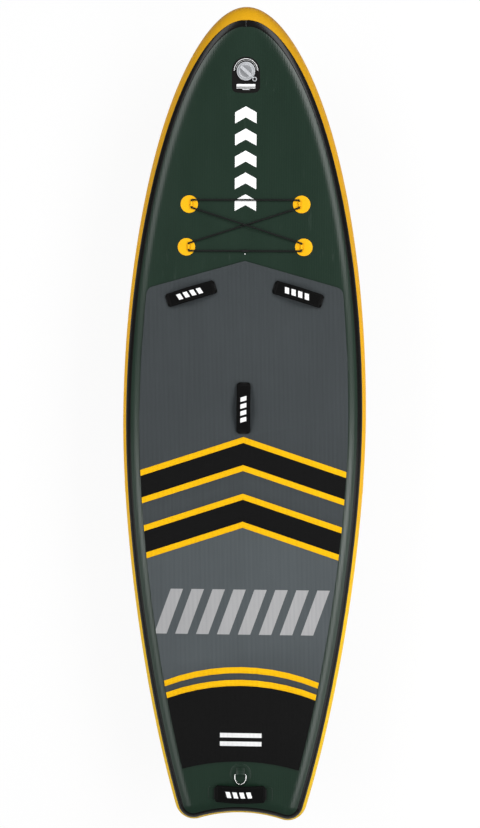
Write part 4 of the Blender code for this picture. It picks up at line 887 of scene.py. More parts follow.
# %% [markdown]
# ## Lap joints
#
# The tapes and the strip come from rolls, so each has lap joints: a short overlapping end. The deck
# tape is lapped at the nose, with a line of glue whose pale grey is a painted highlight on the
# lap's edge, and the yellow strip on both sides, a little aft of the middle. Each is a short second
# band over the first.

# %% Laps, and glue with a painted highlight
LAP_Y = -0.2306


def lap_section(low, high, under, over):
    """A thin layer between two angles that follow from the tape's."""
    def section(seam, top):
        start, end = low(seam, top), high(seam, top)
        edge = over - 0.0002
        return there_and_back([(start + (end - start) * k / 16, over if 0 < k < 16 else edge)
                               for k in range(17)], under)
    return section


nearest = min(range(len(right_half)), key=lambda k: abs(right_half[k][0].y - LAP_Y))
over_rail = lap_section(lambda seam, top: -seam, lambda seam, top: seam, 0.00005, 0.0006)
over_tape = lap_section(lambda seam, top: seam + 0.6, lambda seam, top: top - 0.6, 0.00125, 0.0018)
for name, section, first, last, finish, slot in (
        ("rail_lap_right", over_rail, nearest, nearest + 1, "rail_yellow", "pvc_yellow"),
        ("rail_lap_left", over_rail, -nearest - 1, -nearest, "rail_yellow", "pvc_yellow"),
        ("tape_lap_nose", over_tape, 0, 3, "tape_black", "pvc_black")):
    add_piece(name, band(section, first, last), finish, slot)
seam, top = stations[0][3]
# A real glue bead, but its pale grey is a painted highlight on the lap's edge.
glue_and_highlight_path = [rail_point(stations[0], seam + (top - seam) * k / 24, 0.0014) for k in range(2, 23)]
add_piece("tape_lap_glue_painted_highlight", swept(glue_and_highlight_path, band_section(0.0011, 0.0010), Vector((1, 0, 0))),
          "glue_line_painted_highlight", "pvc_black")

# %% [markdown]
# ## Deck and bottom skins
#
# Each skin starts as a band from the seam up to the edge of the flat. The flat itself is closed by
# bridging the right edge to the left one, which lets it follow the lifted nose, and the level part
# between the tail corners is filled. Then a second layer closes the sheet from the inside.

# %% Skins
def skin(side, rows=14):
    """A skin from seam to seam: side 1 for the deck and -1 for the bottom."""
    inside = {}

    def place(u, v):
        station = stations[round(v * len(stations)) % len(stations)]
        low = sum(station[3]) / 2 + SLIT
        angle = side * (low + (90 - low) * round(u * rows) / rows)
        outer = rail_point(station, angle, 0.0)
        inside[outer.to_tuple(6)] = rail_point(station, angle, -SKIN)
        return outer

    def on_flat(edge):
        rise = THICKNESS if side > 0 else 0.0
        return edge.is_boundary and all(abs(v.co.z - rocker(v.co.y) - rise) < 1e-5
                                        for v in edge.verts)

    bm = mapped_grid(rows, len(stations), place, closed=False)
    tail_y = right_half[-1][0].y
    bmesh.ops.bridge_loops(bm, edges=[
        e for e in bm.edges if on_flat(e) and min(v.co.y for v in e.verts) > tail_y
        and min(abs(v.co.x) for v in e.verts) > 1e-4])
    filled = bmesh.ops.holes_fill(bm, edges=[e for e in bm.edges if on_flat(e)], sides=0)["faces"]
    bmesh.ops.triangulate(bm, faces=filled)
    layer = bmesh.ops.extrude_face_region(bm, geom=bm.faces[:])["geom"]
    for vert in [item for item in layer if isinstance(item, bmesh.types.BMVert)]:
        vert.co = inside[vert.co.to_tuple(6)]
    return bm


deck_piece = add_piece("deck_sheet", skin(1), "deck_cloth", "pvc_green", "deck_skin")
add_piece("bottom_sheet", skin(-1), "bottom_cloth", "pvc_green", "bottom_skin")

# %% [markdown]
# ## White marks on the nose
#
# A plain stack of chevrons points to the nose. It is a printed film, so thin that only its colour
# and its edge are seen. Each chevron is a small grid laid on the deck, then given its thickness.

# %% Nose marks
MARKS, MARK_PITCH = 5, 0.0765
MARK_HALF, MARK_DEPTH, MARK_FRONT = 0.038, 0.038, 1.099


def laid_film(across, along, plan, lift, thickness=0.00012):
    """A thin film that far above the deck: plan(u, v) gives its x and y."""
    def place(u, v):
        x, y = plan(u, v)
        return Vector((x, y, deck(y) + lift))

    bm = mapped_grid(across, along, place, closed=False)
    bmesh.ops.recalc_face_normals(bm, faces=bm.faces)
    if sum(face.normal.z * face.calc_area() for face in bm.faces) < 0:
        bmesh.ops.reverse_faces(bm, faces=bm.faces)
    bmesh.ops.solidify(bm, geom=bm.faces[:], thickness=thickness)
    return bm


def chevron(number):
    """One chevron of the stack."""
    def plan(u, v):
        x = (u - 0.5) * 2 * MARK_HALF
        return x, MARK_FRONT - number * MARK_PITCH - 0.55 * abs(x) - v * MARK_DEPTH
    return laid_film(8, 8, plan, 0.00020)


def centre_dot(u, v):
    """A dot on the centre line, ahead of the pad's point."""
    angle, radius = 2 * pi * u, 0.0006 + 0.0014 * v
    return radius * cos(angle), 0.5815 + radius * sin(angle)


nose_marks = [chevron(k) for k in range(MARKS)] + [laid_film(16, 2, centre_dot, 0.00020)]
add_piece("nose_marks", joined(*nose_marks), "print_white")

# %% [markdown]
# ## The deck pad
#
# The pad's pieces already have their true outlines. Copies of them are merged into whole faces, and
# their upper edges are rounded: widely at the outside, where the foam is sanded so that no toe
# catches it, and only a hair where two pieces of the mosaic meet.

# %% Pad pieces
CHEVRON_SLOPE = 0.330
CHEVRON_CUTS = (-0.0690, -0.0908, -0.1688, -0.1906, -0.2706, -0.2924, -0.3704, -0.3922)
ARC_CUTS = (-0.8870, -0.9088, -0.9323, -0.9541)
ARC_RADIUS = 0.750
PAD_TOP = 0.1553
PAD_FINISHES = {
    "grey_front": "foam_grey", "stripe_1": "foam_yellow", "chevron_front": "foam_black",
    "stripe_2": "foam_yellow", "grey_middle": "foam_grey", "stripe_3": "foam_yellow",
    "chevron_rear": "foam_black", "stripe_4": "foam_yellow", "grey_rear": "foam_grey_marked",
    "arc_upper": "foam_yellow", "grey_between_arcs": "foam_grey", "arc_lower": "foam_yellow",
    "tail": "foam_tail",
}


def on_cut(edge):
    """Whether an edge lies where two pieces of the pad meet."""
    def along(line):
        return all(abs(v.co.y - line(abs(v.co.x))) < 0.0006 for v in edge.verts)
    return (any(along(lambda x: top - CHEVRON_SLOPE * x) for top in CHEVRON_CUTS)
            or any(along(lambda x: top - ARC_RADIUS + sqrt(ARC_RADIUS**2 - x**2))
                   for top in ARC_CUTS))


def on_top(edge):
    return min(vert.co.z for vert in edge.verts) > PAD_TOP - 0.0002


for word, finish in PAD_FINISHES.items():
    bm = rounded(merged_copy("pad_" + word), 0.00025, 1, chosen=lambda e: on_top(e) and on_cut(e))
    rounded(bm, 0.0013, 3, 60, lambda e: on_top(e) and not on_cut(e))
    slot = {"foam_grey_marked": "foam_grey", "foam_tail": "foam_black"}.get(finish, finish)
    add_piece(f"pad_{word}_foam", bm, finish, slot, "pad_" + word, smooth=50)

# %% [markdown]
# ## Things sewn and welded on
#
# Fittings are built flat, round the origin, and then laid on the deck: turned, moved, and lifted
# corner by corner to the deck's own height, so that they follow the rising nose. Stitches are small
# capsules set along a line.

# %% Laying on the deck, stitches and discs
def laid(bm, x, y, turn=0.0):
    """A flat shape moved to its place and bent to the deck."""
    moved(bm, at(x, y) @ turned(turn, "Z"))
    for vert in bm.verts:
        vert.co.z += deck(vert.co.y)
    return bm


def stitched(runs, height, pitch, length, radius=0.0003):
    """Small capsules at one height along runs. Each run is two points in plan."""
    bm = bmesh.new()
    for start, end in runs:
        start, end = Vector((*start, height)), Vector((*end, height))
        run = end - start
        count = max(1, round(run.length / pitch))
        turn = run.to_track_quat("Y", "Z").to_matrix().to_4x4()
        for k in range(count):
            place = Matrix.Translation(start + run * ((k + 0.5) / count))
            bmesh.ops.create_icosphere(bm, subdivisions=1, radius=1.0, matrix=place @ turn
                                       @ Matrix.Diagonal((radius, length / 2, radius, 1.0)))
    return bm


PATCH_TOP = GAP + PATCH


def patch_disc(radius):
    """A welded disc, a little crowned, its rim pressed thin."""
    return spun([(0, 0.00005), (radius, 0.00005), (radius, 0.00055), (radius - 0.0005, 0.0010),
                 (radius - 0.0016, 0.0012), (radius - 0.0022, 0.00105), (radius - 0.0030, 0.0013),
                 (radius * 0.6, PATCH_TOP - 0.00005), (0, PATCH_TOP)], 64)


# %% [markdown]
# ## Bungee patches
#
# Each patch is a disc of yellow PVC welded to the deck. Over its middle lies a half tube with two
# flat flanges, sewn down, that the cord passes under. The tube is an outline extruded once, which
# is the shortest way to one closed solid.

# %% Four patches
BRIDGE_WALL, BRIDGE_LENGTH = 0.0014, 0.016
FLANGE_REACH = 0.0045
HOLE = CORD_RADIUS + GAP
SHELL = HOLE + BRIDGE_WALL


def bridge():
    """The half tube and its flanges."""
    centre = PATCH_TOP + HOLE
    flange = [(SHELL + FLANGE_REACH, PATCH_TOP), (SHELL + FLANGE_REACH, PATCH_TOP + 0.0006),
              (SHELL + 0.0010, PATCH_TOP + 0.0008)]
    outline = flange + [(x, centre + z) for x, z in arc(SHELL, 0, 180, 16)]
    outline += [(-x, z) for x, z in reversed(flange)] + [(-HOLE, PATCH_TOP)]
    outline += [(x, centre + z) for x, z in arc(HOLE, 180, 0, 12)] + [(HOLE, PATCH_TOP)]
    bm = bmesh.new()
    face = bm.faces.new([bm.verts.new((x, -BRIDGE_LENGTH / 2, z)) for x, z in outline])
    lifted = bmesh.ops.extrude_face_region(bm, geom=[face])["geom"]
    bmesh.ops.translate(bm, vec=(0, BRIDGE_LENGTH, 0),
                        verts=[v for v in lifted if isinstance(v, bmesh.types.BMVert)])
    return bm


seam_x = SHELL + FLANGE_REACH / 2 + 0.0004
for row, (x, y) in (("front", FRONT_PATCH), ("rear", REAR_PATCH)):
    for word, side in (("left", -1), ("right", 1)):
        name = f"bungee_patch_{row}_{word}"
        middle = -side * BRIDGE_INSET
        patch = joined(patch_disc(0.031), moved(bridge(), at(middle)))
        runs = [((middle + seam, -0.0072), (middle + seam, 0.0072)) for seam in (-seam_x, seam_x)]
        add_piece(name + "_welded", laid(patch, side * x, y), "patch_yellow", "pvc_yellow", name)
        stitches = stitched(runs, PATCH_TOP + 0.0008, 0.0029, 0.0022, 0.00038)
        add_piece(name + "_stitches", laid(stitches, side * x, y), "thread_yellow")

# %% [markdown]
# ## The cord
#
# The cord is elastic in a braided sheath: a circle swept along the route, which is first made finer
# by a curve through its points. The sleeve that joins its ends is moulded, so it is spun from a
# profile, and one half of that profile mirrors the other.

# %% Cord and sleeve
cord = swept(smooth_path(cord_points, 4), arc(CORD_RADIUS, 0, 360, 14)[:-1])
add_piece("cord", cord, "braid_black", "elastic_black", "bungee_cord", smooth=60)
half_sleeve = [(0.0033, 0.012), (0.0038, 0.012), (0.0044, 0.0112), (0.0046, 0.0100),
               (0.0046, 0.0030), (0.0043, 0.0024)]
sleeve = spun([(radius, -z) for radius, z in half_sleeve] + half_sleeve[::-1], 40)
moved(sleeve, at(0, cord_points[0].y, cord_points[0].z) @ turned(90, "Y"))
add_piece("cord_sleeve", sleeve, "seal_rubber", "seal_rubber", "bungee_joiner")

# %% [markdown]
# ## Carry handles
#
# A handle is a webbing strap over a welded patch. Its ends are folded under and sewn, and a padded
# neoprene grip is wrapped round its middle. The grip is a real cushion in small: a rounded section
# carried along the strap's arch, pressed in along its two seams, bound at its ends, with slight
# puckers from the sewing. It is so thin and firm that these moves in code form it well.

# %% Strap
STRAP = 0.0020
LOOP_RADIUS = 0.0045
STRAP_LOW = PATCH_TOP + GAP + STRAP / 2
ARCH_ENDS, ARCH_RISE = STRAP_LOW + 2 * LOOP_RADIUS, 0.027


def arch(share):
    """Height of the strap's middle along the grip, for shares from -1 to 1."""
    return ARCH_ENDS + (ARCH_RISE - ARCH_ENDS) * (1 - share * share) ** 2


def strap(length, width):
    """The strap: sewn end, fold, arch, fold and sewn end."""
    reach = length / 2
    start = [Vector((-reach + 0.026 * (1 - k / 4), 0, STRAP_LOW)) for k in range(4)]
    start += [Vector((-reach + x, 0, STRAP_LOW + LOOP_RADIUS + z))
              for x, z in arc(LOOP_RADIUS, 270, 90, 12)[:-1]]
    middle = [Vector((reach * (k / 24 - 1), 0, arch(k / 24 - 1))) for k in range(49)]
    end = [Vector((-p.x, 0, p.z)) for p in reversed(start)]
    return swept(start + middle + end, band_section(width, STRAP), Vector((0, 1, 0)))


print("a strap's arch stands", round(ARCH_RISE + STRAP / 2, 4), "m above the deck")

# %% Grip
GRIP_HALF_THICK = STRAP / 2 + GAP + 0.0033


def evenly(points, count):
    """Evenly spaced points round a closed outline, and the outline's length."""
    lengths = [0.0]
    for a, b in zip(points, points[1:] + points[:1]):
        lengths.append(lengths[-1] + dist(a, b))
    found, k = [], 0
    for step in range(count):
        wanted = lengths[-1] * step / count
        while lengths[k + 1] < wanted:
            k += 1
        share = (wanted - lengths[k]) / (lengths[k + 1] - lengths[k])
        a, b = points[k], points[(k + 1) % len(points)]
        found.append((a[0] + (b[0] - a[0]) * share, a[1] + (b[1] - a[1]) * share))
    return found, lengths[-1]


def inward(distance, radius):
    """How much of a rounded end is missing, from 1 at the end to 0 a radius away from it."""
    return 1 - sqrt(max(0.0, 1 - max(0.0, 1 - distance / radius) ** 2))


def grip(length, width, corner, around=56):
    """The padded grip, its top in the middle of the UV map."""
    reach, half = length / 2, width / 2
    outline = [(half * copysign(abs(c) ** 0.35, c), GRIP_HALF_THICK * copysign(abs(s) ** 0.55, s))
               for c, s in arc(1.0, -90, 270, 360)[:-1]]
    section, girth = evenly(outline, around)
    near_end = (0.0, 0.0002, 0.0006, 0.0012, 0.0020, 0.0032, 0.0050, 0.0078, 0.0084, 0.0110)
    steps = [-reach + d for d in near_end]
    steps += [(-reach + near_end[-1]) * (1 - 2 * k / 40) for k in range(1, 40)]
    steps += [reach - d for d in reversed(near_end)]
    rows = len(steps) - 1

    def place(u, v):
        x = steps[round(v * rows)]
        sideways, above = section[round(u * around) % around]
        to_end = reach - abs(x)
        wide = 1 - corner * inward(to_end, corner) / half
        thin = 1 - 0.0024 * inward(to_end, 0.0028) / GRIP_HALF_THICK
        seam = exp(-(((abs(sideways) - (half - 0.005)) / 0.0014) ** 2))
        bound = 1.08 if to_end < 0.0080 else 1.0
        pucker = noise.noise(Vector((x * 90, sideways * 60, above * 100))) * 0.00028
        pucker += sin(x * 2 * pi / 0.0125) * 0.00012 * (abs(sideways) / half) ** 2
        crown = 1.0 - 0.16 * seam + 0.05 * (1 - (sideways / half) ** 2)
        lift = pucker * (1 if above > 0 else 0.3)
        return Vector((x, sideways * wide, arch(x / reach) + above * thin * crown * bound + lift))

    return mapped_grid(around, rows, place,
                       lambda u, v: ((u - 0.5) * girth, steps[round(v * rows)]))


# %% [markdown]
# ## Four handles
#
# The three handles on the deck are alike. The one at the tail has a wider strap, a fuller grip and
# a longer patch in the board's green. One loop builds them all, so a change reaches each of them.

# %% The four handles
PLACES = {"front_left": (-0.190, 0.4383, 17.0), "front_right": (0.190, 0.4383, -17.0),
          "centre": (0.0, 0.0336, 90.0), "tail": (0.0, -1.337, 0.0)}
for word, place in PLACES.items():
    name = "handle_" + word
    if word == "tail":
        size, corner, webbing_width, base = (0.176, 0.060), 0.0075, 0.038, (0.228, 0.046)
        colour, cover = "green", "neoprene_tail"
    else:
        size, corner, webbing_width, base = (0.172, 0.049), 0.0022, 0.025, (0.181, 0.045)
        colour, cover = "black", "neoprene_black"
    patch = rounded(slab(*base, 0.00005, PATCH_TOP, 0.008), 0.0005)
    flats = [face for face in patch.faces if face.calc_area() > 0.0004]
    bmesh.ops.inset_individual(patch, faces=flats, thickness=0.0010)
    add_piece(name + "_base", laid(patch, *place), "patch_" + colour, "pvc_" + colour,
              name + "_patch")
    add_piece(name + "_webbing", laid(strap(size[0], webbing_width), *place), "webbing_black",
              "webbing_black", name + "_strap", smooth=60)
    cushion = add_piece(name + "_cushion", laid(grip(*size, corner), *place), cover,
                        "neoprene_black", name + "_grip", smooth=60)
    edge, reach = base[0] / 2 - 0.0030, base[1] / 2 - 0.010
    runs = [((x, reach), (x, -reach)) for x in (-edge, edge)]
    add_piece(name + "_stitches", laid(stitched(runs, PATCH_TOP + 0.0001, 0.0038, 0.0028), *place),
              "thread_" + colour)

# %% [markdown]
# ## Leash ring
#
# A steel D ring is held by a tab of coated cloth that is folded round its bar and sewn to itself.
# The tab is welded under a round patch's middle. The ring swings on its bar, so it is built flat
# round that bar, in its own body, and turned until its tip rests on the deck.

# %% Patch, tab and ring
LEASH_Y = -1.269
WIRE, TAB = 0.00225, 0.0012
TAB_REACH, SEAM_REACH = 0.024, 0.0125
RING_WIDTH, RING_LENGTH, RING_CORNER, RING_LEGS = 0.0444, 0.041, 0.0045, 0.0125
BAR_HEIGHT = PATCH_TOP + GAP + TAB + GAP + WIRE
add_piece("leash_disc", laid(patch_disc(0.038), 0.0, LEASH_Y), "patch_green", "pvc_green",
          "leash_patch")
wrap = WIRE + GAP + TAB / 2
tab_low = BAR_HEIGHT - wrap
tab_high = tab_low + TAB + GAP
tab_path = [(TAB_REACH * (1 - k / 6), tab_low) for k in range(6)]
tab_path += [(y, BAR_HEIGHT + z) for y, z in arc(wrap, 270, 45, 18)]
tab_path += [(TAB_REACH * share, tab_high) for share in (0.45, 0.6, 0.8, 1.0)]
tab = swept([Vector((0, y, z)) for y, z in tab_path], band_section(0.030, TAB), Vector((1, 0, 0)))
add_piece("leash_loop", laid(tab, 0.0, LEASH_Y), "patch_green", "pvc_green", "leash_tab",
          smooth=60)
tab_runs = [((-SEAM_REACH, y), (SEAM_REACH, y)) for y in (TAB_REACH * 0.50, TAB_REACH * 0.88)]
tab_runs += [((x, 0.0125), (x, 0.0210)) for x in (-SEAM_REACH, SEAM_REACH)]
tab_stitches = stitched(tab_runs, tab_high + TAB / 2, 0.0032, 0.0025)
add_piece("leash_loop_stitches", laid(tab_stitches, 0.0, LEASH_Y), "thread_green")

half, tip = RING_WIDTH / 2 - WIRE, RING_LENGTH - 2 * WIRE
ring_path = [(half * 0.4 * k / 2, 0.0) for k in range(3)] + [(half - RING_CORNER, 0.0)]
ring_path += [(half - RING_CORNER + x, y - RING_CORNER) for x, y in arc(RING_CORNER, 90, 0, 8)[1:]]
ring_path += [(half * c**1.2, -RING_LEGS - (tip - RING_LEGS) * s)
              for c, s in arc(1.0, 0, 90, 22)[:-1]]
ring_path += [(0.0, -tip)] + [(-x, y) for x, y in reversed(ring_path[1:])]
fall = asin((BAR_HEIGHT - PATCH_TOP - GAP - WIRE) / tip)
ring = swept([Vector((x, y, 0.0)) for x, y in ring_path], arc(WIRE, 0, 360, 20)[:-1],
             Vector((0, 0, 1)), closed=True)
moved(ring, at(0, LEASH_Y, THICKNESS + BAR_HEIGHT) @ turned(degrees(fall), "X"))
add_piece("leash_d_ring", ring, "steel", "stainless", "leash_ring", "leash_ring", smooth=60)

# %% [markdown]
# ## The inflation valve
#
# The valve is clamped through the deck on a black label. A flange and its barrel are fixed. A cap
# closes it, hung on a tether ring that turns under the flange. Under the cap, a spring holds a
# plunger shut. All of it sits on the valve's own axis, which leans back with the rising nose. The
# label is a welded sheet and its marks are printed, so both are films laid on the deck.

# %% Label and its marks
VALVE_Y = 1.218
valve_place = at(0.0, VALVE_Y, 0.20773) @ turned(degrees(atan2(0.185189, 0.982703)), "X")
LABEL_HALF, LABEL_CORNER, LABEL_BOW = 0.049, 0.014, 0.005
LABEL_FRONT, LABEL_BACK = VALVE_Y + 0.048, VALVE_Y - 0.069
LABEL_LIFT, LABEL_MARK_LIFT = 0.0011, 0.00122


def label_plan(u, v):
    """Half round towards the nose, soft corners and a slight bow towards the tail."""
    ease = 0.5 - 0.5 * cos(pi * v)
    y = LABEL_BACK + (LABEL_FRONT - LABEL_BACK) * ease
    half = LABEL_HALF
    if y > LABEL_FRONT - LABEL_HALF:
        half = sqrt(max(0.0, LABEL_HALF**2 - (y - LABEL_FRONT + LABEL_HALF) ** 2))
    elif y < LABEL_BACK + LABEL_CORNER:
        inside = LABEL_CORNER**2 - (LABEL_BACK + LABEL_CORNER - y) ** 2
        half = LABEL_HALF - LABEL_CORNER + sqrt(max(0.0, inside))
    x = (u * 2 - 1) * half
    return x, y - LABEL_BOW * (1 - (x / LABEL_HALF) ** 2) * (1 - ease) ** 3


def arc_film(inner, outer, start, end):
    """Part of a ring round the valve, printed on the label."""
    def plan(u, v):
        radius, angle = inner + (outer - inner) * u, radians(start + (end - start) * v)
        return radius * cos(angle), VALVE_Y + radius * sin(angle)
    return laid_film(2, 64, plan, LABEL_MARK_LIFT)


def bar_film(half, centre, depth):
    """A bar printed across the label."""
    def plan(u, v):
        return (u * 2 - 1) * half, VALVE_Y + centre + (v - 0.5) * depth
    return laid_film(8, 3, plan, LABEL_MARK_LIFT)


label_piece = add_piece("valve_patch", laid_film(28, 48, label_plan, LABEL_LIFT, 0.0010),
                        "patch_black", "pvc_black", "valve_label")
label_marks = [arc_film(0.0410, 0.0427, 2, 178), arc_film(0.0362, 0.0369, 8, 172)]
label_marks += [bar_film(0.033, -0.0480, 0.0085), bar_film(0.033, -0.0570, 0.0022),
                bar_film(0.012, -0.0620, 0.0018)]
add_piece("valve_patch_marks", joined(*label_marks), "print_white")

# %% [markdown]
# ## Flange, gasket and tether
#
# The flange clamps a rubber gasket and the tether's ring to the deck, and its barrel reaches down
# into the air. They are turned parts, so they are spun from profiles. The hole through deck and
# label is cut with a boolean, because it crosses the faces of sheets that are already there.

# %% Gasket, tether ring, flange and barrel
BARREL, MOUTH, SEAT = 0.0220, 0.0200, 0.0140
FLANGE, UNDER, FACE = 0.0323, 0.0044, 0.0074
TURN = turned(-42.0, "Z")
EYE_PLACE, TONGUE_FROM = 0.0413, 0.0263


def fitted(name, bm, *given, **named):
    """A piece moved from its own axis to its place in the deck."""
    return add_piece(name, moved(bm, valve_place), *given, **named)


fitted("valve_washer", spun([(0.0223, -0.0006), (0.0300, -0.0006), (0.0303, 0.0), (0.0303, 0.0025),
                             (0.0300, 0.0028), (0.0223, 0.0028)]),
       "seal_rubber", "seal_rubber", "valve_gasket")
loop = spun([(0.0223, 0.0031), (0.0303, 0.0031), (0.0303, 0.0041), (0.0223, 0.0041)])
tongue = moved(slab(EYE_PLACE - TONGUE_FROM, 0.0060, 0.0032, 0.0040, 0.0010),
               TURN @ at((EYE_PLACE + TONGUE_FROM) / 2))
knob = spun([(0, 0.0033), (0.0070, 0.0033), (0.0070, 0.0039), (0.0036, 0.0039), (0.0036, 0.0100),
             (0.0030, 0.0108), (0.0020, 0.0109), (0, 0.0109)], 32)
fitted("tether_strap", joined(loop, tongue, moved(knob, TURN @ at(EYE_PLACE))), "seal_rubber",
       "valve_grey", "valve_tether_ring", "valve_tether")
floor_z = FACE - 0.0110
hub_top = floor_z - 0.0040
housing = spun([
    (MOUTH, FACE - 0.0004), (MOUTH, floor_z), (SEAT + 0.0010, floor_z), (SEAT, floor_z - 0.001),
    (SEAT, -0.0200), (BARREL, -0.0200), (BARREL, UNDER), (FLANGE - 0.0003, UNDER),
    (FLANGE, UNDER + 0.0004), (FLANGE, FACE - 0.0016), (FLANGE - 0.0004, FACE - 0.0007),
    (FLANGE - 0.0013, FACE - 0.0001), (0.0292, FACE), (0.0288, FACE - 0.0005),
    (0.0280, FACE - 0.0005), (0.0276, FACE), (MOUTH + 0.0005, FACE)])
hub = spun([(0.0028, hub_top - 0.003), (0.0050, hub_top - 0.003), (0.0050, hub_top),
            (0.0028, hub_top)], 32)
arms = [moved(rounded(slab(0.0108, 0.0030, hub_top - 0.0027, hub_top - 0.0003), 0.0003),
              turned(angle, "Z") @ at(0.0095)) for angle in (45, 135, 225, 315)]
fitted("valve_housing", joined(housing, hub, *arms), "valve_grey", "valve_grey", "valve_body")
for piece in (deck_piece, label_piece):
    cut(piece, moved(spun([(0, -0.02), (0.0222, -0.02), (0.0222, 0.02), (0, 0.02)]), valve_place))

# %% [markdown]
# ## The cap
#
# The cap is turned too, with a bar across it for the fingers and an eye for the tether's knob. The
# bar is a block with its upper edges well rounded. The cap's hollow is in shade on the real one,
# so its floor is a thin disc of its own with a darker finish.

# %% The cap
seat = FACE + GAP
top = seat + 0.0062
lid = spun([
    (0, top - 0.0036), (0.0080, top - 0.0036), (0.0080, seat - 0.0090), (0.0182, seat - 0.0090),
    (0.0185, seat - 0.0087), (0.0185, seat), (0.0267, seat), (0.0270, seat + 0.0003),
    (0.0270, seat + 0.0021), (0.0267, seat + 0.0032), (0.0258, seat + 0.0042),
    (0.0245, seat + 0.0049), (0.0240, seat + 0.0054), (0.0234, seat + 0.0055),
    (0.0226, seat + 0.0051), (0.0220, seat + 0.0045), (0.0212, top - 0.0022),
    (0.0140, top - 0.0024), (0, top - 0.0024)])
finger_bar = rounded(slab(0.046, 0.0112, top - 0.003, top + 0.0082, 0.0030), 0.0011, 3, 40,
                     lambda e: max(v.co.z for v in e.verts) > top)
ridge = rounded(slab(0.0340, 0.0026, top + 0.0080, top + 0.0086, 0.0012), 0.0002)
neck = moved(rounded(slab(0.0132, 0.0060, seat + 0.001, top - 0.0025, 0.0008), 0.0004), at(0.0296))
eye = moved(spun([(0.0053, 0.0049), (0.0077, 0.0049), (0.0080, 0.0053), (0.0080, top - 0.0026),
                  (0.0075, top - 0.002), (0.0055, top - 0.002), (0.0050, top - 0.0024),
                  (0.0050, 0.0053)], 36), at(EYE_PLACE))
fitted("valve_lid", joined(lid, *(moved(bm, TURN) for bm in (finger_bar, ridge, neck, eye))),
       "valve_grey", "valve_grey", "valve_cap", "valve_cap", smooth=34)
dish = spun([(0, top - 0.0026), (0.0206, top - 0.0026), (0.0206, top - 0.0021), (0, top - 0.0021)])
fitted("valve_lid_dish", dish, "valve_shade", "valve_grey", body="valve_cap")

# %% [markdown]
# ## The valve's spring
#
# A wire spring between the hub and the plunger's button holds the valve shut. When the plunger is
# pushed the spring gets shorter. The piece gets a mesh of its own.

# %% Spring
COIL_WIRE, COIL_RADIUS, COIL_TURNS, COIL_STEPS = 0.00045, 0.00395, 5, 180
low, high = hub_top + GAP + COIL_WIRE, FACE - 0.0060 - GAP - COIL_WIRE
coil = [Vector((x, y, low + (high - low) * k / COIL_STEPS))
        for k, (x, y) in enumerate(arc(COIL_RADIUS, 0, 360 * COIL_TURNS, COIL_STEPS))]
spring = fitted("spring_coil", swept(coil, arc(COIL_WIRE, 0, 360, 10)[:-1]), "steel", "stainless",
                "valve_spring", smooth=60)
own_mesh(spring)

# %% [markdown]
# ## Fins
#
# The blades are foils: sections with a round nose and a thin tail that shrink and sweep back to the
# tip. A grid is wrapped round the sections, with its rows closer at the tip, where the blade ends
# in a rounded edge.

# %% Blades
def blade(root_z, root_front, depth, chord, tip_chord, sweep, thickness, overlap):
    """A swept foil hanging down from its root, as a closed shape with a rounded tip."""
    def place(u, v):
        share = 1 - (1 - v) ** 1.5
        round_off = sqrt(max(0.0, 1 - max(0.0, (share - 0.93) / 0.07) ** 2))
        here = chord + (tip_chord - chord) * share**1.35
        shrunk = here * (0.45 + 0.55 * round_off)
        front = root_front - sweep * share**1.6 - (here - shrunk) * 0.45
        back = (1 - cos(2 * pi * u)) / 2
        fullness = 2.6 * sqrt(back) * (1 - back) + 0.10 * back * (1 - back**6)
        thin = thickness * (1 - 0.70 * share) * (0.15 + 0.85 * round_off)
        return Vector((copysign(thin / 2 * fullness, sin(2 * pi * u)), front - back * shrunk,
                       root_z + overlap - (depth + overlap) * share))

    return mapped_grid(48, 40, place)


# %% [markdown]
# ## The centre fin
#
# The blade stands on a root that slides into its box, so both belong to the fin's own body. The box
# and its patch have the right shape already and only need softer edges, so they are copies of their
# solids with a bevel.

# %% The centre fin and its box
MOUTH_Z = -0.0303
fin_place = at(0, -1.100)
foil = blade(MOUTH_Z, 0.0825 - 0.0205 - GAP, 0.200, 0.142, 0.046, 0.120, 0.0090, 0.004)
add_piece("centre_fin_blade", moved(foil, fin_place), "fin_plastic", "fin_black", "centre_fin",
          "centre_fin", smooth=60)
lower = rounded(slab(0.0094, 0.165, MOUTH_Z - 0.0005, MOUTH_Z + 0.0060, 0.0006), 0.0003)
upper = rounded(slab(0.0094, 0.1445, MOUTH_Z + 0.0058, MOUTH_Z + 0.0215, 0.0006), 0.0003)
add_piece("centre_fin_root", moved(joined(lower, moved(upper, at(y=-0.01025))), fin_place),
          "fin_plastic", "fin_black", "centre_fin", "centre_fin")
for node, finish, slot, radius in (("fin_box", "fin_plastic", "fin_black", 0.0006),
                                   ("fin_box_patch", "patch_green", "pvc_green", 0.0005)):
    add_piece(node + "_moulded", rounded(merged_copy(node), radius), finish, slot, node)

# %% [markdown]
# ## Side fins
#
# The side fins are moulded in one with a flat base. They lean out and point a little inwards at the
# front. The blade is leaned first and joined to its base, and then both are turned and moved.

# %% The side fins
for name, side in (("side_fin_left", -1), ("side_fin_right", 1)):
    low = -GAP - 0.0025
    base = rounded(slab(0.042, 0.150, low, -GAP, 0.018), 0.0010)
    foil = moved(blade(low, 0.061, 0.108, 0.122, 0.034, 0.062, 0.0080, 0.001),
                 turned(-side * 6.0, "Y"))
    add_piece(name + "_moulded",
              moved(joined(base, foil), at(side * 0.185, -1.130) @ turned(side * 2.0, "Z")),
              "fin_plastic", "fin_black", name, smooth=50)

# %% [markdown]
# ## Solids that stay
#
# Small parts inside the valve and the fin box have the right shape already. They only get their
# finish, in the material slot of their own mesh.

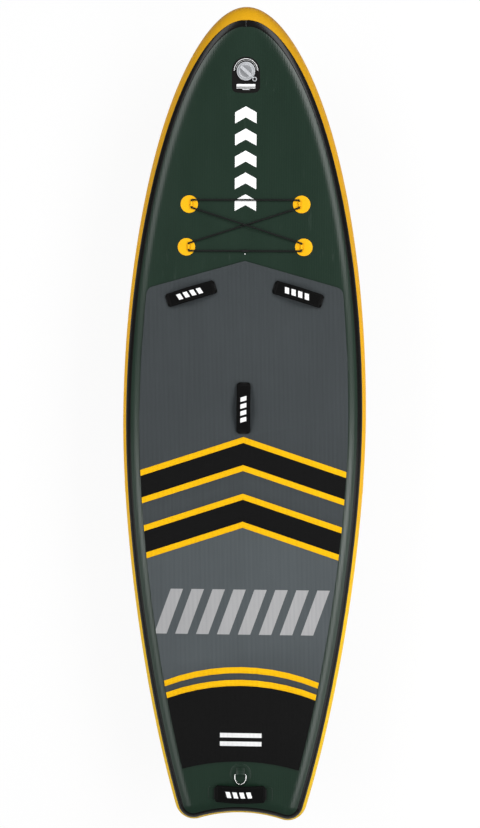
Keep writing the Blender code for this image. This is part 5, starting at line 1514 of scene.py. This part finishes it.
# %% Finishes for the small parts
SMALL_PARTS = {"air_chamber": "core_cloth", "valve_back_nut": "valve_grey",
               "valve_plunger": "fin_plastic", "valve_spring": "steel",
               "valve_cap_seal": "seal_rubber", "fin_pin": "brass", "fin_nut_plate": "steel",
               "fin_screw": "steel"}
for node, finish in SMALL_PARTS.items():
    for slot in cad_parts[node].material_slots:
        slot.material = finishes[finish]
print("small parts finished:", len(SMALL_PARTS))

# %% [markdown]
# ## The studio
#
# The board hangs over a pale floor, as its fins need. Floor and air show white to the camera only,
# by a mix on the camera's rays. The floor shows a small share of its true shade, so it still takes
# the board's shadow.

# %% Floor and air
FLOOR_GLOW = 0.90


def white_to_camera(nodes, kind, share):
    """Show plain white to the camera by that share. Other rays meet the shader as it is."""
    surface = next(n for n in nodes.tree.nodes if n.type.startswith("OUTPUT")).inputs["Surface"]
    shown = Value(nodes, surface.links[0].from_socket)
    white = nodes.node(kind, {}, {"Color": grey(1.0)})
    seen = nodes.node("ShaderNodeLightPath", output="Is Camera Ray") * share
    blend = nodes.node("ShaderNodeMixShader", {}, {0: seen, 1: shown, 2: white})
    nodes.tree.links.new(blend.socket, surface)


floor_bm = bmesh.new()
bmesh.ops.create_grid(floor_bm, x_segments=1, y_segments=1, size=16.0)
floor = put("studio_floor", mesh_of("studio_floor", moved(floor_bm, at(z=cad_box[0].z - 0.002))))
paper = Finish("white_paper")
tooth = paper.noise(300.0)
paper.surface(Base_Color=paper.mix(tooth, grey(0.86), grey(0.90)), Roughness=0.9,
              Specular_IOR_Level=0.1, Normal=paper.bump(tooth, 0.0002, 0.3))
white_to_camera(paper, "ShaderNodeEmission", FLOOR_GLOW)
floor.data.materials.append(paper.material)
scene.world = bpy.data.worlds.new("studio_air")
scene.world.use_nodes = True
air = Nodes(scene.world.node_tree)
air.plug(air.tree.nodes["Background"], {"Color": (0.94, 0.97, 1.0, 1.0), "Strength": 0.17})
white_to_camera(air, "ShaderNodeBackground", 1.0)
print("floor at", round(cad_box[0].z - 0.002, 4))

# %% [markdown]
# ## Lamps
#
# High soft boxes on both sides are mirrored by the round shoulders as soft bright lines, and a low
# pair aft lights the outer shoulders. Each lamp's power follows from its size, so a bigger box
# keeps its brightness.

# %% Lamps
# Place on the right side, aim along the board, size, brightness left and right.
LAMPS = {
    "long_box": ((1.75, 0.20, 2.30), 0.20, (1.3, 5.6), 0.67, 0.93),
    "nose_box": ((1.70, 2.10, 2.35), 1.20, (1.2, 2.0), 4.28, 5.92),
    "waist_box": ((1.70, -0.60, 2.40), -0.60, (1.2, 0.8), 4.9, 6.9),
    "tail_box": ((1.70, -1.80, 2.35), -1.20, (1.2, 1.5), 2.0, 3.4),
    "side_box": ((2.60, -1.55, 1.00), -1.55, (1.0, 2.5), 1.4, 2.3),
}
for name, ((x, y, z), aim_y, size, left, right) in LAMPS.items():
    for word, side, radiance in (("left", -1, left), ("right", 1, right)):
        data = bpy.data.lights.new(f"{name}_{word}", "AREA")
        data.shape = "RECTANGLE"
        data.size, data.size_y = size
        data.energy = radiance * pi * size[0] * size[1]
        put(data.name, data).matrix_world = facing(Vector((side * x, y, z)),
                                                   Vector((0.0, aim_y, 0.1)))
scene.view_settings.view_transform = "Standard"
print("lamps:", 2 * len(LAMPS))
